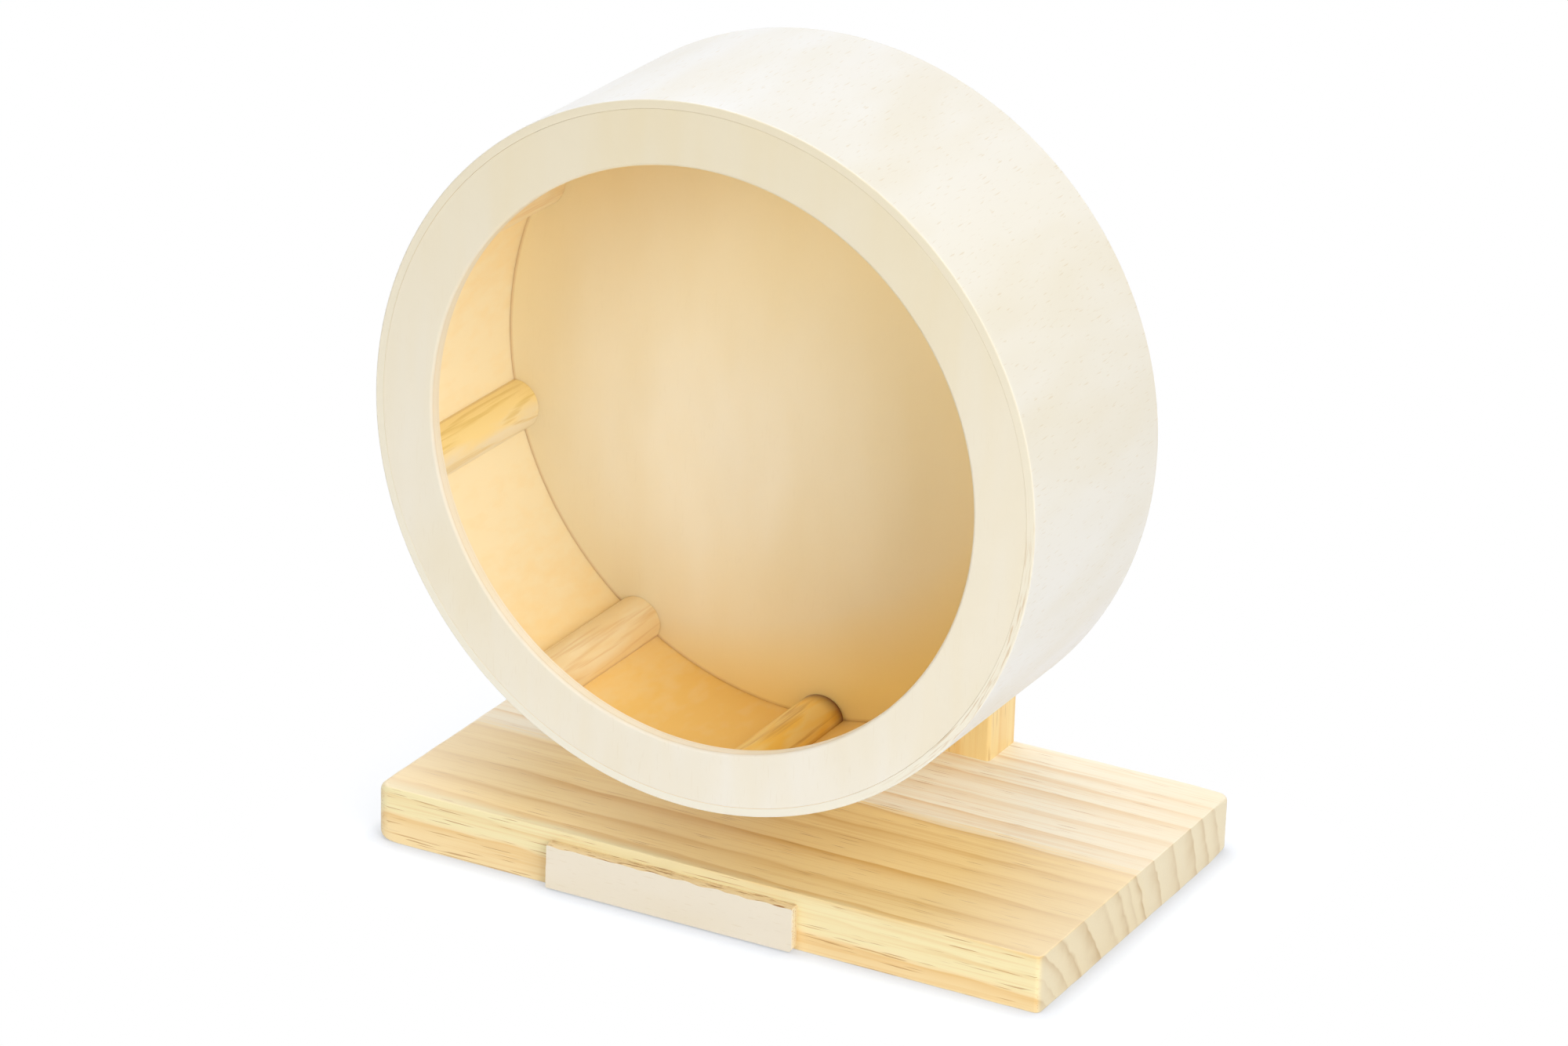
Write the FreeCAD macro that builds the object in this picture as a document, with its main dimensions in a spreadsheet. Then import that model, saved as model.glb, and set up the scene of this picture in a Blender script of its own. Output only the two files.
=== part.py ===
import FreeCAD, Part
import os

import Sketcher

# Wooden exercise wheel for small rodents: an open plywood drum with half-round rungs inside,
# carried from behind on a turned hub that runs on two ball bearings round one bolt. The bolt is
# clamped in a pine upright, which stands at the back of a pine base board.
#
# Frame: millimetres, +Z up, -Y towards the drum's mouth. The origin is the centre of the base
# board's underside, and the wheel turns about a line along Y straight above it.

SIZES = {
    # pine base board
    "base_width": 210,
    "base_depth": 122,
    "base_thickness": 17,
    "base_corner": 3,
    "base_edge": 1.5,
    # pine upright, flush with the back of the base, its top a half circle round the bolt
    "upright_width": 73,
    "upright_thickness": 17,
    "upright_edge": 1.2,
    # plywood strip glued to the front of the base
    "plate_width": 78,
    "plate_height": 13.5,
    "plate_thickness": 3,
    "plate_shift": -8,
    "plate_lift": 0.4,
    "plate_edge": 0.5,
    # plywood drum, its disc set in from the back edge
    "wheel_dia": 201,
    "wheel_depth": 75,
    "wheel_clearance": 21,
    "band_wall": 2.5,
    "band_edge": 0.5,
    "ring_thickness": 4,
    "ring_width": 15.5,
    "ring_round": 1.5,
    "disc_thickness": 4,
    "disc_recess": 4,
    "glue_gap": 0.03,
    # half-round rungs, the first one at this angle seen from the front, anticlockwise from +X,
    # and how far two of them are glued off their even marks
    "rung_count": 9,
    "rung_first_angle": 273,
    "rung_8_slip": 1.2,
    "rung_9_slip": 3.3,
    "rung_width": 14.5,
    "rung_height": 7,
    # turned hub glued behind the drum
    "hub_dia": 50,
    "hub_edge": 3,
    "hub_shoulder": 3,
    "hub_throat_dia": 16,
    "hub_run_gap": 0.5,
    "head_room": 7,
    # ball bearings, the common 8 x 22 x 7 size
    "bearing_outside": 22,
    "bearing_width": 7,
    "bearing_gap": 4,
    "seat_gap": 0.02,
    "shield_inset": 0.3,
    "shield_thickness": 0.3,
    "shield_clearance": 0.35,
    "cage_side_gap": 0.415,
    "cage_rim": 0.4,
    "cage_wall": 1.5,
    "pocket_clearance": 0.1,
    "ball_count": 7,
    "ball_clearance": 0.1,
    "track_depth": 0.535,
    # bolt through the bearings and the upright, with what is threaded over it
    "bolt_dia": 8,
    "bolt_slip": 0.03,
    "bolt_tip": 1,
    "bolt_projection": 4.5,
    "bolt_head_height": 5.3,
    "hexagon": 13,
    "hexagon_chamfer": 0.6,
    "upright_bore_slip": 0.15,
    "shim_dia": 12,
    "shim_thickness": 1,
    "spacer_dia": 11,
    "jam_nut_height": 4,
    "washer_dia": 24,
    "washer_thickness": 2,
    "washer_slip": 0.2,
    "lock_nut_height": 8,
    "lock_collar_height": 2.2,
    "lock_collar_dia": 11,
    # countersunk wood screws, from below through the base into the upright
    "screw_spacing": 44,
    "screw_dia": 4,
    "screw_length": 40,
    "screw_head_dia": 8,
    "screw_point": 6,
    "screw_recess": 0.5,
    "screw_slip": 0.2,
    "pilot_slip": 0.03,
    "pilot_spare": 1.5,
    "cross_reach": 2.2,
    "cross_width": 1,
    "cross_depth": 1.4,
}

FULL_TURN = 360
QUARTER_TURN = 90
COUNTERSINK_ANGLE = 90
HEXAGON_SIDES = 6
STRAIGHT_DOWN = 270

doc = FreeCAD.newDocument("exercise_wheel")
sheet = doc.addObject("Spreadsheet::Sheet", "dims")
for row, (alias, size) in enumerate(SIZES.items(), start=1):
    sheet.set(f"A{row}", alias)
    sheet.set(f"B{row}", str(size))
    sheet.setAlias(f"B{row}", alias)
doc.recompute()

pieces = []

# Places along the wheel's axis, worked forward from the upright, and its height
axis_height = "(dims.base_thickness + dims.wheel_clearance + dims.wheel_dia / 2)"
upright_back = "(dims.base_depth / 2)"
upright_front = f"({upright_back} - dims.upright_thickness)"
jam_nut_back = f"({upright_front} - dims.washer_thickness)"
jam_nut_front = f"({jam_nut_back} - dims.jam_nut_height)"
hub_back = f"({jam_nut_front} - dims.hub_run_gap)"
rear_bearing_back = f"({hub_back} - dims.hub_shoulder)"
rear_bearing_front = f"({rear_bearing_back} - dims.bearing_width)"
front_bearing_back = f"({rear_bearing_front} - dims.bearing_gap)"
front_bearing_front = f"({front_bearing_back} - dims.bearing_width)"
bolt_head_back = f"({front_bearing_front} - dims.shim_thickness)"
bolt_head_front = f"({bolt_head_back} - dims.bolt_head_height)"
disc_back = f"({bolt_head_front} - dims.head_room)"
disc_front = f"({disc_back} - dims.disc_thickness)"
drum_back = f"({disc_back} + dims.disc_recess)"
drum_front = f"({drum_back} - dims.wheel_depth)"
ring_back = f"({drum_front} + dims.ring_thickness)"
lock_nut_front = f"({upright_back} + dims.washer_thickness)"
lock_nut_back = f"({lock_nut_front} + dims.lock_nut_height)"
bolt_end = f"({lock_nut_back} + dims.bolt_projection)"

# Radii that several pieces share
band_inside = "(dims.wheel_dia / 2 - dims.band_wall)"
panel_radius = f"({band_inside} - dims.glue_gap)"
bolt_radius = "(dims.bolt_dia / 2)"
bolt_hole = f"({bolt_radius} + dims.bolt_slip)"
hexagon_corner = "(dims.hexagon / sqrt(3))"

# Inside a bearing: the balls fill the width that shields, cage and their gaps leave
pitch_radius = "((dims.bearing_outside + dims.bolt_dia) / 4)"
shield_back = "(dims.shield_inset + dims.shield_thickness)"
cage_half_width = f"(dims.bearing_width / 2 - {shield_back} - dims.cage_side_gap)"
pocket_radius = f"({cage_half_width} - dims.cage_rim)"
ball_radius = f"({pocket_radius} - dims.pocket_clearance)"
track_radius = f"({ball_radius} + dims.ball_clearance)"
inner_land = f"({pitch_radius} - {ball_radius} + dims.track_depth)"
outer_land = f"({pitch_radius} + {ball_radius} - dims.track_depth)"

# Line of the screws that join the upright to the base
screw_row = f"({upright_front} + dims.upright_thickness / 2)"


def value(expression):
    """The number that an expression gives with the sheet as it stands."""
    return float(sheet.evalExpression(expression))


def new_body(label):
    """An empty body with a label of its own."""
    body = doc.addObject("PartDesign::Body", label)
    body.Label = label
    return body


def place(piece, **where):
    """Binds a piece's position along x, y and z to expressions."""
    for axis, expression in where.items():
        piece.setExpression(f"Placement.Base.{axis}", expression)


def keep(piece, label):
    """Names a finished piece and puts it on the list that is written out."""
    piece.Label = label
    pieces.append(piece)
    return piece


def add_sketch(body, role, name):
    """A sketch on one of the body's own origin planes."""
    sketch = body.newObject("Sketcher::SketchObject", name)
    plane = next(feature for feature in body.Origin.OriginFeatures if feature.Role == role)
    sketch.AttachmentSupport = [(plane, "")]
    sketch.MapMode = "FlatFace"
    return sketch


def hold(sketch, geometry, point, across, along):
    """Fixes a point of a sketch at two distances from the sketch's origin."""
    for kind, expression in (("DistanceX", across), ("DistanceY", along)):
        rule = Sketcher.Constraint(kind, -1, 1, geometry, point, value(expression))
        index = sketch.addConstraint(rule)
        sketch.setExpression(f"Constraints[{index}]", expression)


def add_outline(sketch, corners):
    """A closed outline of straight lines through corners given as pairs of expressions."""
    points = [FreeCAD.Vector(value(across), value(along), 0) for across, along in corners]
    ends = points[1:] + points[:1]
    first = sketch.GeometryCount
    count = len(points)
    for start, end in zip(points, ends):
        sketch.addGeometry(Part.LineSegment(start, end), False)
    for step in range(count):
        following = first + (step + 1) % count
        sketch.addConstraint(Sketcher.Constraint("Coincident", first + step, 2, following, 1))
    for step, (across, along) in enumerate(corners):
        hold(sketch, first + step, 1, across, along)


def add_circle(sketch, across, along, radius):
    """A circle whose centre and radius are expressions."""
    centre = FreeCAD.Vector(value(across), value(along), 0)
    normal = FreeCAD.Vector(0, 0, 1)
    circle = sketch.addGeometry(Part.Circle(centre, normal, value(radius)), False)
    hold(sketch, circle, 3, across, along)
    index = sketch.addConstraint(Sketcher.Constraint("Radius", circle, value(radius)))
    sketch.setExpression(f"Constraints[{index}]", radius)


def add_pad(body, sketch, length, backward=False):
    """Pads a sketch, along its normal or the other way."""
    pad = body.newObject("PartDesign::Pad", f"{sketch.Name}_pad")
    pad.Profile = sketch
    pad.setExpression("Length", length)
    pad.Reversed = backward
    return pad


def volume(body):
    """The body's volume, brought up to date."""
    doc.recompute()
    return body.Shape.Volume


def check_cut(body, before):
    """Makes sure that the last feature took something away."""
    if volume(body) >= before:
        raise RuntimeError(f"{body.Tip.Name} in {body.Label} cuts nothing")


def add_pocket(body, sketch, depth):
    """Cuts a sketch into the body to a depth along the sketch's normal."""
    before = volume(body)
    pocket = body.newObject("PartDesign::Pocket", f"{sketch.Name}_pocket")
    pocket.Profile = sketch
    pocket.setExpression("Length", depth)
    pocket.Reversed = True
    check_cut(body, before)
    return pocket


def round_edges(body, name, radius, chosen):
    """Rounds those edges of the body as it stands that the test picks."""
    doc.recompute()
    solid = body.Tip
    names = [f"Edge{k}" for k, edge in enumerate(solid.Shape.Edges, start=1) if chosen(edge)]
    fillet = body.newObject("PartDesign::Fillet", name)
    fillet.Base = (solid, names)
    fillet.setExpression("Radius", radius)


def lies_at(edge, axis, expression):
    """True for an edge whose whole length is at one coordinate."""
    near = 1e-6
    box = edge.BoundBox
    low = getattr(box, f"{axis}Min")
    high = getattr(box, f"{axis}Max")
    return abs(low - value(expression)) < near and abs(high - value(expression)) < near


def is_ring(edge, radius, expression):
    """True for a round edge of this radius at this place along Y."""
    near = 1e-6
    if not isinstance(edge.Curve, Part.Circle):
        return False
    return abs(edge.Curve.Radius - value(radius)) < near and lies_at(edge, "Y", expression)


def turned(label, *outlines, plane="XY_Plane"):
    """A body turned about its upright sketch axis: along Y, or along Z on the XZ plane."""
    body = new_body(label)
    section = add_sketch(body, plane, f"{label}_section")
    for corners in outlines:
        add_outline(section, corners)
    turn = body.newObject("PartDesign::Revolution", f"{label}_turn")
    turn.Profile = section
    turn.ReferenceAxis = (section, ["V_Axis"])
    turn.Angle = FULL_TURN
    return body


def oblong(inside, outside, front, back):
    """The section of a plain ring: inner and outer radius, front and back along Y."""
    return [(inside, front), (outside, front), (outside, back), (inside, back)]


def on_axis(label, *outlines):
    """A turned body on the wheel's axis."""
    body = turned(label, *outlines)
    place(body, z=axis_height)
    return body


def groove_race(body, front):
    """Cuts the ball track into a bearing race."""
    middle = f"({front} + dims.bearing_width / 2)"
    track = add_sketch(body, "XY_Plane", f"{body.Label}_track")
    add_circle(track, pitch_radius, middle, track_radius)
    before = volume(body)
    groove = body.newObject("PartDesign::Groove", f"{body.Label}_groove")
    groove.Profile = track
    groove.ReferenceAxis = (track, ["V_Axis"])
    groove.Angle = FULL_TURN
    check_cut(body, before)


def hexagon_bar(name, front, height):
    """A hexagonal bar along the wheel's axis, its corners still sharp."""
    bar = doc.addObject("Part::Prism", name)
    bar.Polygon = HEXAGON_SIDES
    bar.setExpression("Circumradius", hexagon_corner)
    bar.setExpression("Height", height)
    bar.Placement.Rotation = FreeCAD.Rotation(FreeCAD.Vector(1, 0, 0), -QUARTER_TURN)
    place(bar, y=front, z=axis_height)
    return bar


def nut(label, front, hexagon_back, collar=()):
    """A hexagon nut: a bar trimmed by a turned blank with bevelled ends and a bore."""
    bevel = f"({hexagon_corner} - 2 * dims.hexagon_chamfer)"
    blank = on_axis(f"{label}_blank", [
        (bolt_hole, front),
        (bevel, front),
        (hexagon_corner, f"{front} + dims.hexagon_chamfer"),
        (hexagon_corner, f"{hexagon_back} - dims.hexagon_chamfer"),
        (bevel, hexagon_back),
        (bolt_hole, hexagon_back),
    ])
    bar = hexagon_bar(f"{label}_bar", front, f"{hexagon_back} - {front}")
    trimmed = doc.addObject("Part::Common", f"{label}_trimmed")
    trimmed.Base = bar
    trimmed.Tool = blank
    if not collar:
        return keep(trimmed, label)
    collared = doc.addObject("Part::Fuse", f"{label}_collared")
    collared.Base = trimmed
    collared.Tool = on_axis(f"{label}_collar", collar)
    return keep(collared, label)


def make_base_board():
    """Base board: a planed pine board with eased edges and two countersunk holes below."""
    half_width = "dims.base_width / 2"
    half_depth = "dims.base_depth / 2"
    board = new_body("base_board")
    outline = add_sketch(board, "XY_Plane", "base_outline")
    add_outline(outline, [
        (f"-{half_width}", f"-{half_depth}"),
        (half_width, f"-{half_depth}"),
        (half_width, half_depth),
        (f"-{half_width}", half_depth),
    ])
    add_pad(board, outline, "dims.base_thickness")
    round_edges(board, "base_corners", "dims.base_corner",
                lambda edge: edge.BoundBox.ZLength > value("dims.base_thickness") / 2)
    round_edges(board, "base_easing", "dims.base_edge",
                lambda edge: lies_at(edge, "Z", "0") or lies_at(edge, "Z", "dims.base_thickness"))

    drilling = add_sketch(board, "XY_Plane", "base_drilling")
    for side in (-1, 1):
        add_circle(drilling, f"{side} * dims.screw_spacing / 2", screw_row, "dims.screw_dia / 2")
    before = volume(board)
    hole = board.newObject("PartDesign::Hole", "base_holes")
    hole.Profile = drilling
    hole.DepthType = "ThroughAll"
    hole.HoleCutType = "Countersink"
    hole.HoleCutCustomValues = True
    hole.HoleCutCountersinkAngle = COUNTERSINK_ANGLE
    hole.setExpression("Diameter", "dims.screw_dia + 2 * dims.screw_slip")
    hole.setExpression("HoleCutDiameter",
                       "dims.screw_head_dia + 2 * (dims.screw_recess + dims.screw_slip)")
    hole.Reversed = True
    check_cut(board, before)
    keep(board, "base_board")


def make_upright():
    """Upright: a pine board with a half-round top, bored for the bolt and the screws."""
    half = "dims.upright_width / 2"
    foot = "dims.base_thickness"
    board = new_body("upright_board")
    outline = add_sketch(board, "XZ_Plane", "upright_outline")
    corners = [(half, axis_height), (half, foot), (f"-{half}", foot), (f"-{half}", axis_height)]
    points = [FreeCAD.Vector(value(across), value(up), 0) for across, up in corners]
    for start, end in zip(points, points[1:]):
        outline.addGeometry(Part.LineSegment(start, end), False)
    top = FreeCAD.Vector(0, value(axis_height) + value(half), 0)
    arc = outline.addGeometry(Part.Arc(points[0], top, points[-1]), False)
    for line in (0, 1):
        outline.addConstraint(Sketcher.Constraint("Coincident", line, 2, line + 1, 1))
    outline.addConstraint(Sketcher.Constraint("Coincident", 0, 1, arc, 1))
    outline.addConstraint(Sketcher.Constraint("Coincident", 2, 2, arc, 2))
    for line, (across, up) in enumerate(corners[:3]):
        hold(outline, line, 1, across, up)
    hold(outline, arc, 3, "0", axis_height)
    add_circle(outline, "0", axis_height, f"{bolt_radius} + dims.upright_bore_slip")
    add_pad(board, outline, "dims.upright_thickness", backward=True)
    round_edges(board, "upright_easing", "dims.upright_edge",
                lambda edge: edge.Length > value("dims.upright_width")
                and (lies_at(edge, "Y", "0") or lies_at(edge, "Y", "dims.upright_thickness"))
                and not lies_at(edge, "Z", foot))

    drilling = add_sketch(board, "XY_Plane", "upright_drilling")
    drilling.setExpression("AttachmentOffset.Base.z", foot)
    for side in (-1, 1):
        add_circle(drilling, f"{side} * dims.screw_spacing / 2", "dims.upright_thickness / 2",
                   "dims.screw_dia / 2 + dims.pilot_slip")
    add_pocket(board, drilling,
               f"dims.screw_recess + dims.screw_length + dims.pilot_spare - {foot}")
    place(board, y=upright_front)
    keep(board, "upright_board")


def make_upright_screws():
    """Two wood screws with countersunk heads and a cross recess, driven from below."""
    head = "dims.screw_head_dia / 2"
    shank = "dims.screw_dia / 2"
    low = "dims.screw_recess"
    tip = "dims.screw_recess + dims.screw_length"
    arm = "dims.cross_reach"
    web = "dims.cross_width / 2"
    cross = [
        (arm, f"-{web}"), (arm, web), (web, web), (web, arm), (f"-{web}", arm), (f"-{web}", web),
        (f"-{arm}", web), (f"-{arm}", f"-{web}"), (f"-{web}", f"-{web}"), (f"-{web}", f"-{arm}"),
        (web, f"-{arm}"), (web, f"-{web}"),
    ]
    screws = []
    for side, name in ((-1, "left_screw"), (1, "right_screw")):
        screw = turned(name, [
            ("0", low),
            (head, low),
            (shank, f"{low} + {head} - {shank}"),
            (shank, f"{tip} - dims.screw_point"),
            ("0", tip),
        ], plane="XZ_Plane")
        drive = add_sketch(screw, "XY_Plane", f"{name}_drive")
        drive.setExpression("AttachmentOffset.Base.z", low)
        add_outline(drive, cross)
        add_pocket(screw, drive, "dims.cross_depth")
        place(screw, x=f"{side} * dims.screw_spacing / 2", y=screw_row)
        screws.append(screw)
    group = doc.addObject("Part::Compound", "upright_screws")
    group.Links = screws
    keep(group, "upright_screws")


def make_front_plate():
    """Bare plywood strip glued to the front edge of the base, a little left of the middle."""
    front = "(-dims.base_depth / 2 - dims.plate_thickness)"
    left = "(dims.plate_shift - dims.plate_width / 2)"
    right = "(dims.plate_shift + dims.plate_width / 2)"
    top = "(dims.plate_lift + dims.plate_height)"
    plate = new_body("front_plate")
    outline = add_sketch(plate, "XZ_Plane", "plate_outline")
    add_outline(outline, [
        (left, "dims.plate_lift"), (right, "dims.plate_lift"), (right, top), (left, top),
    ])
    add_pad(plate, outline, "dims.plate_thickness", backward=True)
    round_edges(plate, "plate_easing", "dims.plate_edge", lambda edge: lies_at(edge, "Y", "0"))
    place(plate, y=front)
    keep(plate, "front_plate")


def make_drum():
    """Drum: a bent plywood band, closed behind by a disc and edged in front by a ring."""
    outside = "dims.wheel_dia / 2"
    band = on_axis("drum_band", oblong(band_inside, outside, drum_front, drum_back))
    round_edges(band, "band_easing", "dims.band_edge",
                lambda edge: is_ring(edge, outside, drum_front) or is_ring(edge, outside, drum_back))
    keep(band, "drum_band")

    opening = f"({band_inside} - dims.ring_width)"
    ring = on_axis("front_ring", oblong(opening, panel_radius, drum_front, ring_back))
    round_edges(ring, "ring_rounding", "dims.ring_round",
                lambda edge: is_ring(edge, opening, drum_front))
    keep(ring, "front_ring")

    keep(on_axis("back_disc", oblong("0", panel_radius, disc_front, disc_back)), "back_disc")


def make_rungs():
    """Half-round bars glued across the inside of the band, evenly spaced but for the ones that slipped."""
    half = "(dims.rung_width / 2)"
    seat = f"(-sqrt({panel_radius} ^ 2 - {half} ^ 2))"
    crown = f"({seat} + dims.rung_height)"
    bow = f"(({half} ^ 2 + dims.rung_height ^ 2) / (2 * dims.rung_height))"
    for number in range(int(value("dims.rung_count"))):
        name = f"rung_{number + 1}"
        rung = new_body(name)
        section = add_sketch(rung, "XZ_Plane", f"{name}_section")
        left, right = (FreeCAD.Vector(value(x), value(seat), 0) for x in (f"-{half}", half))
        top = FreeCAD.Vector(0, value(crown), 0)
        flat = section.addGeometry(Part.LineSegment(left, right), False)
        arc = section.addGeometry(Part.Arc(right, top, left), False)
        section.addConstraint(Sketcher.Constraint("Coincident", flat, 2, arc, 1))
        section.addConstraint(Sketcher.Constraint("Coincident", flat, 1, arc, 2))
        hold(section, flat, 1, f"-{half}", seat)
        hold(section, flat, 2, half, seat)
        index = section.addConstraint(Sketcher.Constraint("Radius", arc, value(bow)))
        section.setExpression(f"Constraints[{index}]", bow)
        add_pad(rung, section, f"{disc_front} - {ring_back}", backward=True)
        rung.Placement.Rotation = FreeCAD.Rotation(FreeCAD.Vector(0, 1, 0), QUARTER_TURN)
        turn = f"{STRAIGHT_DOWN} - dims.rung_first_angle - {number} * {FULL_TURN} / dims.rung_count"
        if f"{name}_slip" in SIZES:
            turn += f" - dims.{name}_slip"
        rung.setExpression("Placement.Rotation.Angle", turn)
        place(rung, y=ring_back, z=axis_height)
        keep(rung, name)


def make_hub():
    """Turned wooden hub, glued behind the disc, which hides the bearings in its bore."""
    seat = "(dims.bearing_outside / 2 + dims.seat_gap)"
    throat = "(dims.hub_throat_dia / 2)"
    rim = "(dims.hub_dia / 2)"
    hub = on_axis("hub_block", [
        (seat, disc_back),
        (rim, disc_back),
        (rim, hub_back),
        (throat, hub_back),
        (throat, rear_bearing_back),
        (seat, rear_bearing_back),
    ])
    round_edges(hub, "hub_rounding", "dims.hub_edge", lambda edge: is_ring(edge, rim, hub_back))
    keep(hub, "hub_block")


def make_bearing(name, front):
    """A shielded ball bearing: two races, balls in a cage, and a shield on each side."""
    back = f"({front} + dims.bearing_width)"
    middle = f"({front} + dims.bearing_width / 2)"
    pitch_step = f"{FULL_TURN} / dims.ball_count"

    outer = on_axis(f"{name}_outer_race", oblong(outer_land, "dims.bearing_outside / 2", front, back))
    groove_race(outer, front)
    keep(outer, f"{name}_outer_race")

    inner = on_axis(f"{name}_inner_race", oblong(bolt_hole, inner_land, front, back))
    groove_race(inner, front)
    keep(inner, f"{name}_inner_race")

    balls = []
    for number in range(int(value("dims.ball_count"))):
        ball = doc.addObject("Part::Sphere", f"{name}_ball_{number + 1}")
        ball.setExpression("Radius", ball_radius)
        place(ball,
              x=f"{pitch_radius} * sin({number} * {pitch_step})",
              y=middle,
              z=f"{axis_height} + {pitch_radius} * cos({number} * {pitch_step})")
        balls.append(ball)
    group = doc.addObject("Part::Compound", f"{name}_balls")
    group.Links = balls
    keep(group, f"{name}_balls")

    half_wall = "dims.cage_wall / 2"
    cage_inside = f"{pitch_radius} - {half_wall}"
    cage_outside = f"{pitch_radius} + {half_wall}"
    cage = on_axis(f"{name}_cage",
                   oblong(cage_inside, cage_outside,
                          f"{middle} - {cage_half_width}", f"{middle} + {cage_half_width}"))
    window = add_sketch(cage, "XY_Plane", f"{name}_cage_window")
    add_circle(window, "0", middle, pocket_radius)
    pocket = add_pocket(cage, window, f"{pitch_radius} + dims.cage_wall")
    pattern = cage.newObject("PartDesign::PolarPattern", f"{name}_cage_windows")
    pattern.Originals = [pocket]
    pattern.Axis = (window, ["V_Axis"])
    pattern.Angle = FULL_TURN
    pattern.setExpression("Occurrences", "dims.ball_count")
    cage.Tip = pattern
    keep(cage, f"{name}_cage")

    shield_hole = f"({inner_land} + dims.shield_clearance)"
    shield_rim = f"({outer_land} - dims.seat_gap)"
    shields = []
    for side, outer_face, inward in (("front", front, "+"), ("back", back, "-")):
        near_face = f"({outer_face} {inward} dims.shield_inset)"
        far_face = f"({near_face} {inward} dims.shield_thickness)"
        shields.append(on_axis(f"{name}_{side}_shield",
                               oblong(shield_hole, shield_rim, near_face, far_face)))
    pair = doc.addObject("Part::Compound", f"{name}_shields")
    pair.Links = shields
    keep(pair, f"{name}_shields")


def make_axle():
    """Bolt with its head sunk in the hub, and what is threaded over it from front to back."""
    tip = "dims.bolt_tip"
    shank = on_axis("bolt_shank", [
        ("0", bolt_head_back),
        (bolt_radius, bolt_head_back),
        (bolt_radius, f"{bolt_end} - {tip}"),
        (f"{bolt_radius} - {tip}", bolt_end),
        ("0", bolt_end),
    ])
    bevel = f"({hexagon_corner} - 2 * dims.hexagon_chamfer)"
    blank = on_axis("bolt_head_blank", [
        ("0", bolt_head_front),
        (bevel, bolt_head_front),
        (hexagon_corner, f"{bolt_head_front} + dims.hexagon_chamfer"),
        (hexagon_corner, bolt_head_back),
        ("0", bolt_head_back),
    ])
    head = doc.addObject("Part::Common", "bolt_head")
    head.Base = hexagon_bar("bolt_head_bar", bolt_head_front, "dims.bolt_head_height")
    head.Tool = blank
    bolt = doc.addObject("Part::Fuse", "axle_bolt")
    bolt.Base = shank
    bolt.Tool = head
    keep(bolt, "axle_bolt")

    spacer = "dims.spacer_dia / 2"
    washer_hole = f"{bolt_radius} + dims.washer_slip"
    washer = "dims.washer_dia / 2"
    rings = {
        "head_shim": oblong(bolt_hole, "dims.shim_dia / 2", bolt_head_back, front_bearing_front),
        "bearing_spacer": oblong(bolt_hole, spacer, front_bearing_back, rear_bearing_front),
        "hub_spacer": oblong(bolt_hole, spacer, rear_bearing_back, jam_nut_front),
        "front_washer": oblong(washer_hole, washer, jam_nut_back, upright_front),
        "rear_washer": oblong(washer_hole, washer, upright_back, lock_nut_front),
    }
    for label, section in rings.items():
        keep(on_axis(label, section), label)

    nut("jam_nut", jam_nut_front, jam_nut_back)
    hexagon_back = f"({lock_nut_back} - dims.lock_collar_height)"
    collar = oblong(bolt_hole, "dims.lock_collar_dia / 2", hexagon_back, lock_nut_back)
    nut("lock_nut", lock_nut_front, hexagon_back, collar)


def write_out():
    """Checks every object of the document, then writes each piece to its own file."""
    doc.recompute()
    for item in doc.Objects:
        if "Invalid" in item.State or "Error" in item.State:
            raise RuntimeError(f"{item.Label} failed: {item.State}")
    for piece in pieces:
        if piece.Shape.isNull() or not piece.Shape.isValid() or not piece.Shape.Solids:
            raise RuntimeError(f"{piece.Label} has no valid solid")
    os.makedirs("parts", exist_ok=True)
    for piece in pieces:
        piece.Shape.exportStep(f"parts/{piece.Label}.step")
        print(f"{piece.Label}: {len(piece.Shape.Solids)} solid, {piece.Shape.Volume:.1f} mm3")
    print(len(pieces), "pieces")


make_base_board()
make_upright()
make_upright_screws()
make_front_plate()
make_drum()
make_rungs()
make_hub()
make_bearing("front_bearing", front_bearing_front)
make_bearing("rear_bearing", rear_bearing_front)
make_axle()
write_out()
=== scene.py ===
import math

import bmesh
import bpy
from mathutils import Matrix, Vector, noise


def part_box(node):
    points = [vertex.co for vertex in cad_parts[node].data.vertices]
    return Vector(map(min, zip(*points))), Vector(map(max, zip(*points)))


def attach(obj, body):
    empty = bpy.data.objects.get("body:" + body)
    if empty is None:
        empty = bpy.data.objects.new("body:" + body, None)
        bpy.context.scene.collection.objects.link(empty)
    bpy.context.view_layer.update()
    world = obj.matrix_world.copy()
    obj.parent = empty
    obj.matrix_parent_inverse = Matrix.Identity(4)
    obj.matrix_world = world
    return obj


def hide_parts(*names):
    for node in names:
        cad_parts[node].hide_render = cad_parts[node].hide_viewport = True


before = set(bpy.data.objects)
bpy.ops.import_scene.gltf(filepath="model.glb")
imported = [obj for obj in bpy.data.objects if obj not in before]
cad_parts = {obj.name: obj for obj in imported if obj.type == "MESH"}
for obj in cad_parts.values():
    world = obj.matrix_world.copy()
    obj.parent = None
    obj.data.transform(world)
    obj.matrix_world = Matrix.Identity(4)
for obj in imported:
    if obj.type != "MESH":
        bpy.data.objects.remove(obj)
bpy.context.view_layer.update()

# Base board: a planed radiata pine board, cut to length and laid flat with its grain from side to side.
# Its edges are eased on a sander by hand, so the easing comes and goes: most at the left end and at the back
# right corner. Two holes are countersunk from below for the screws that hold the upright.
MM = 0.001
BASE_CORNERS = (4.5, 1.8, 3.0, 3.0)
BASE_EASE = 0.4
EASE_WAVER = 0.25
EASE_WAVE = 6.0
WORN_EASE = 2.1
WORN_LENGTH = 7.0
CORNER_EASE = 1.2
CORNER_LENGTH = 12.0
SCREW_SPACING = 44.0
SCREW_HOLE = 2.1
COUNTERSINK = 4.2
COUNTERSINK_LIP = 0.5
DRILL_PAST = 1.0
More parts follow.
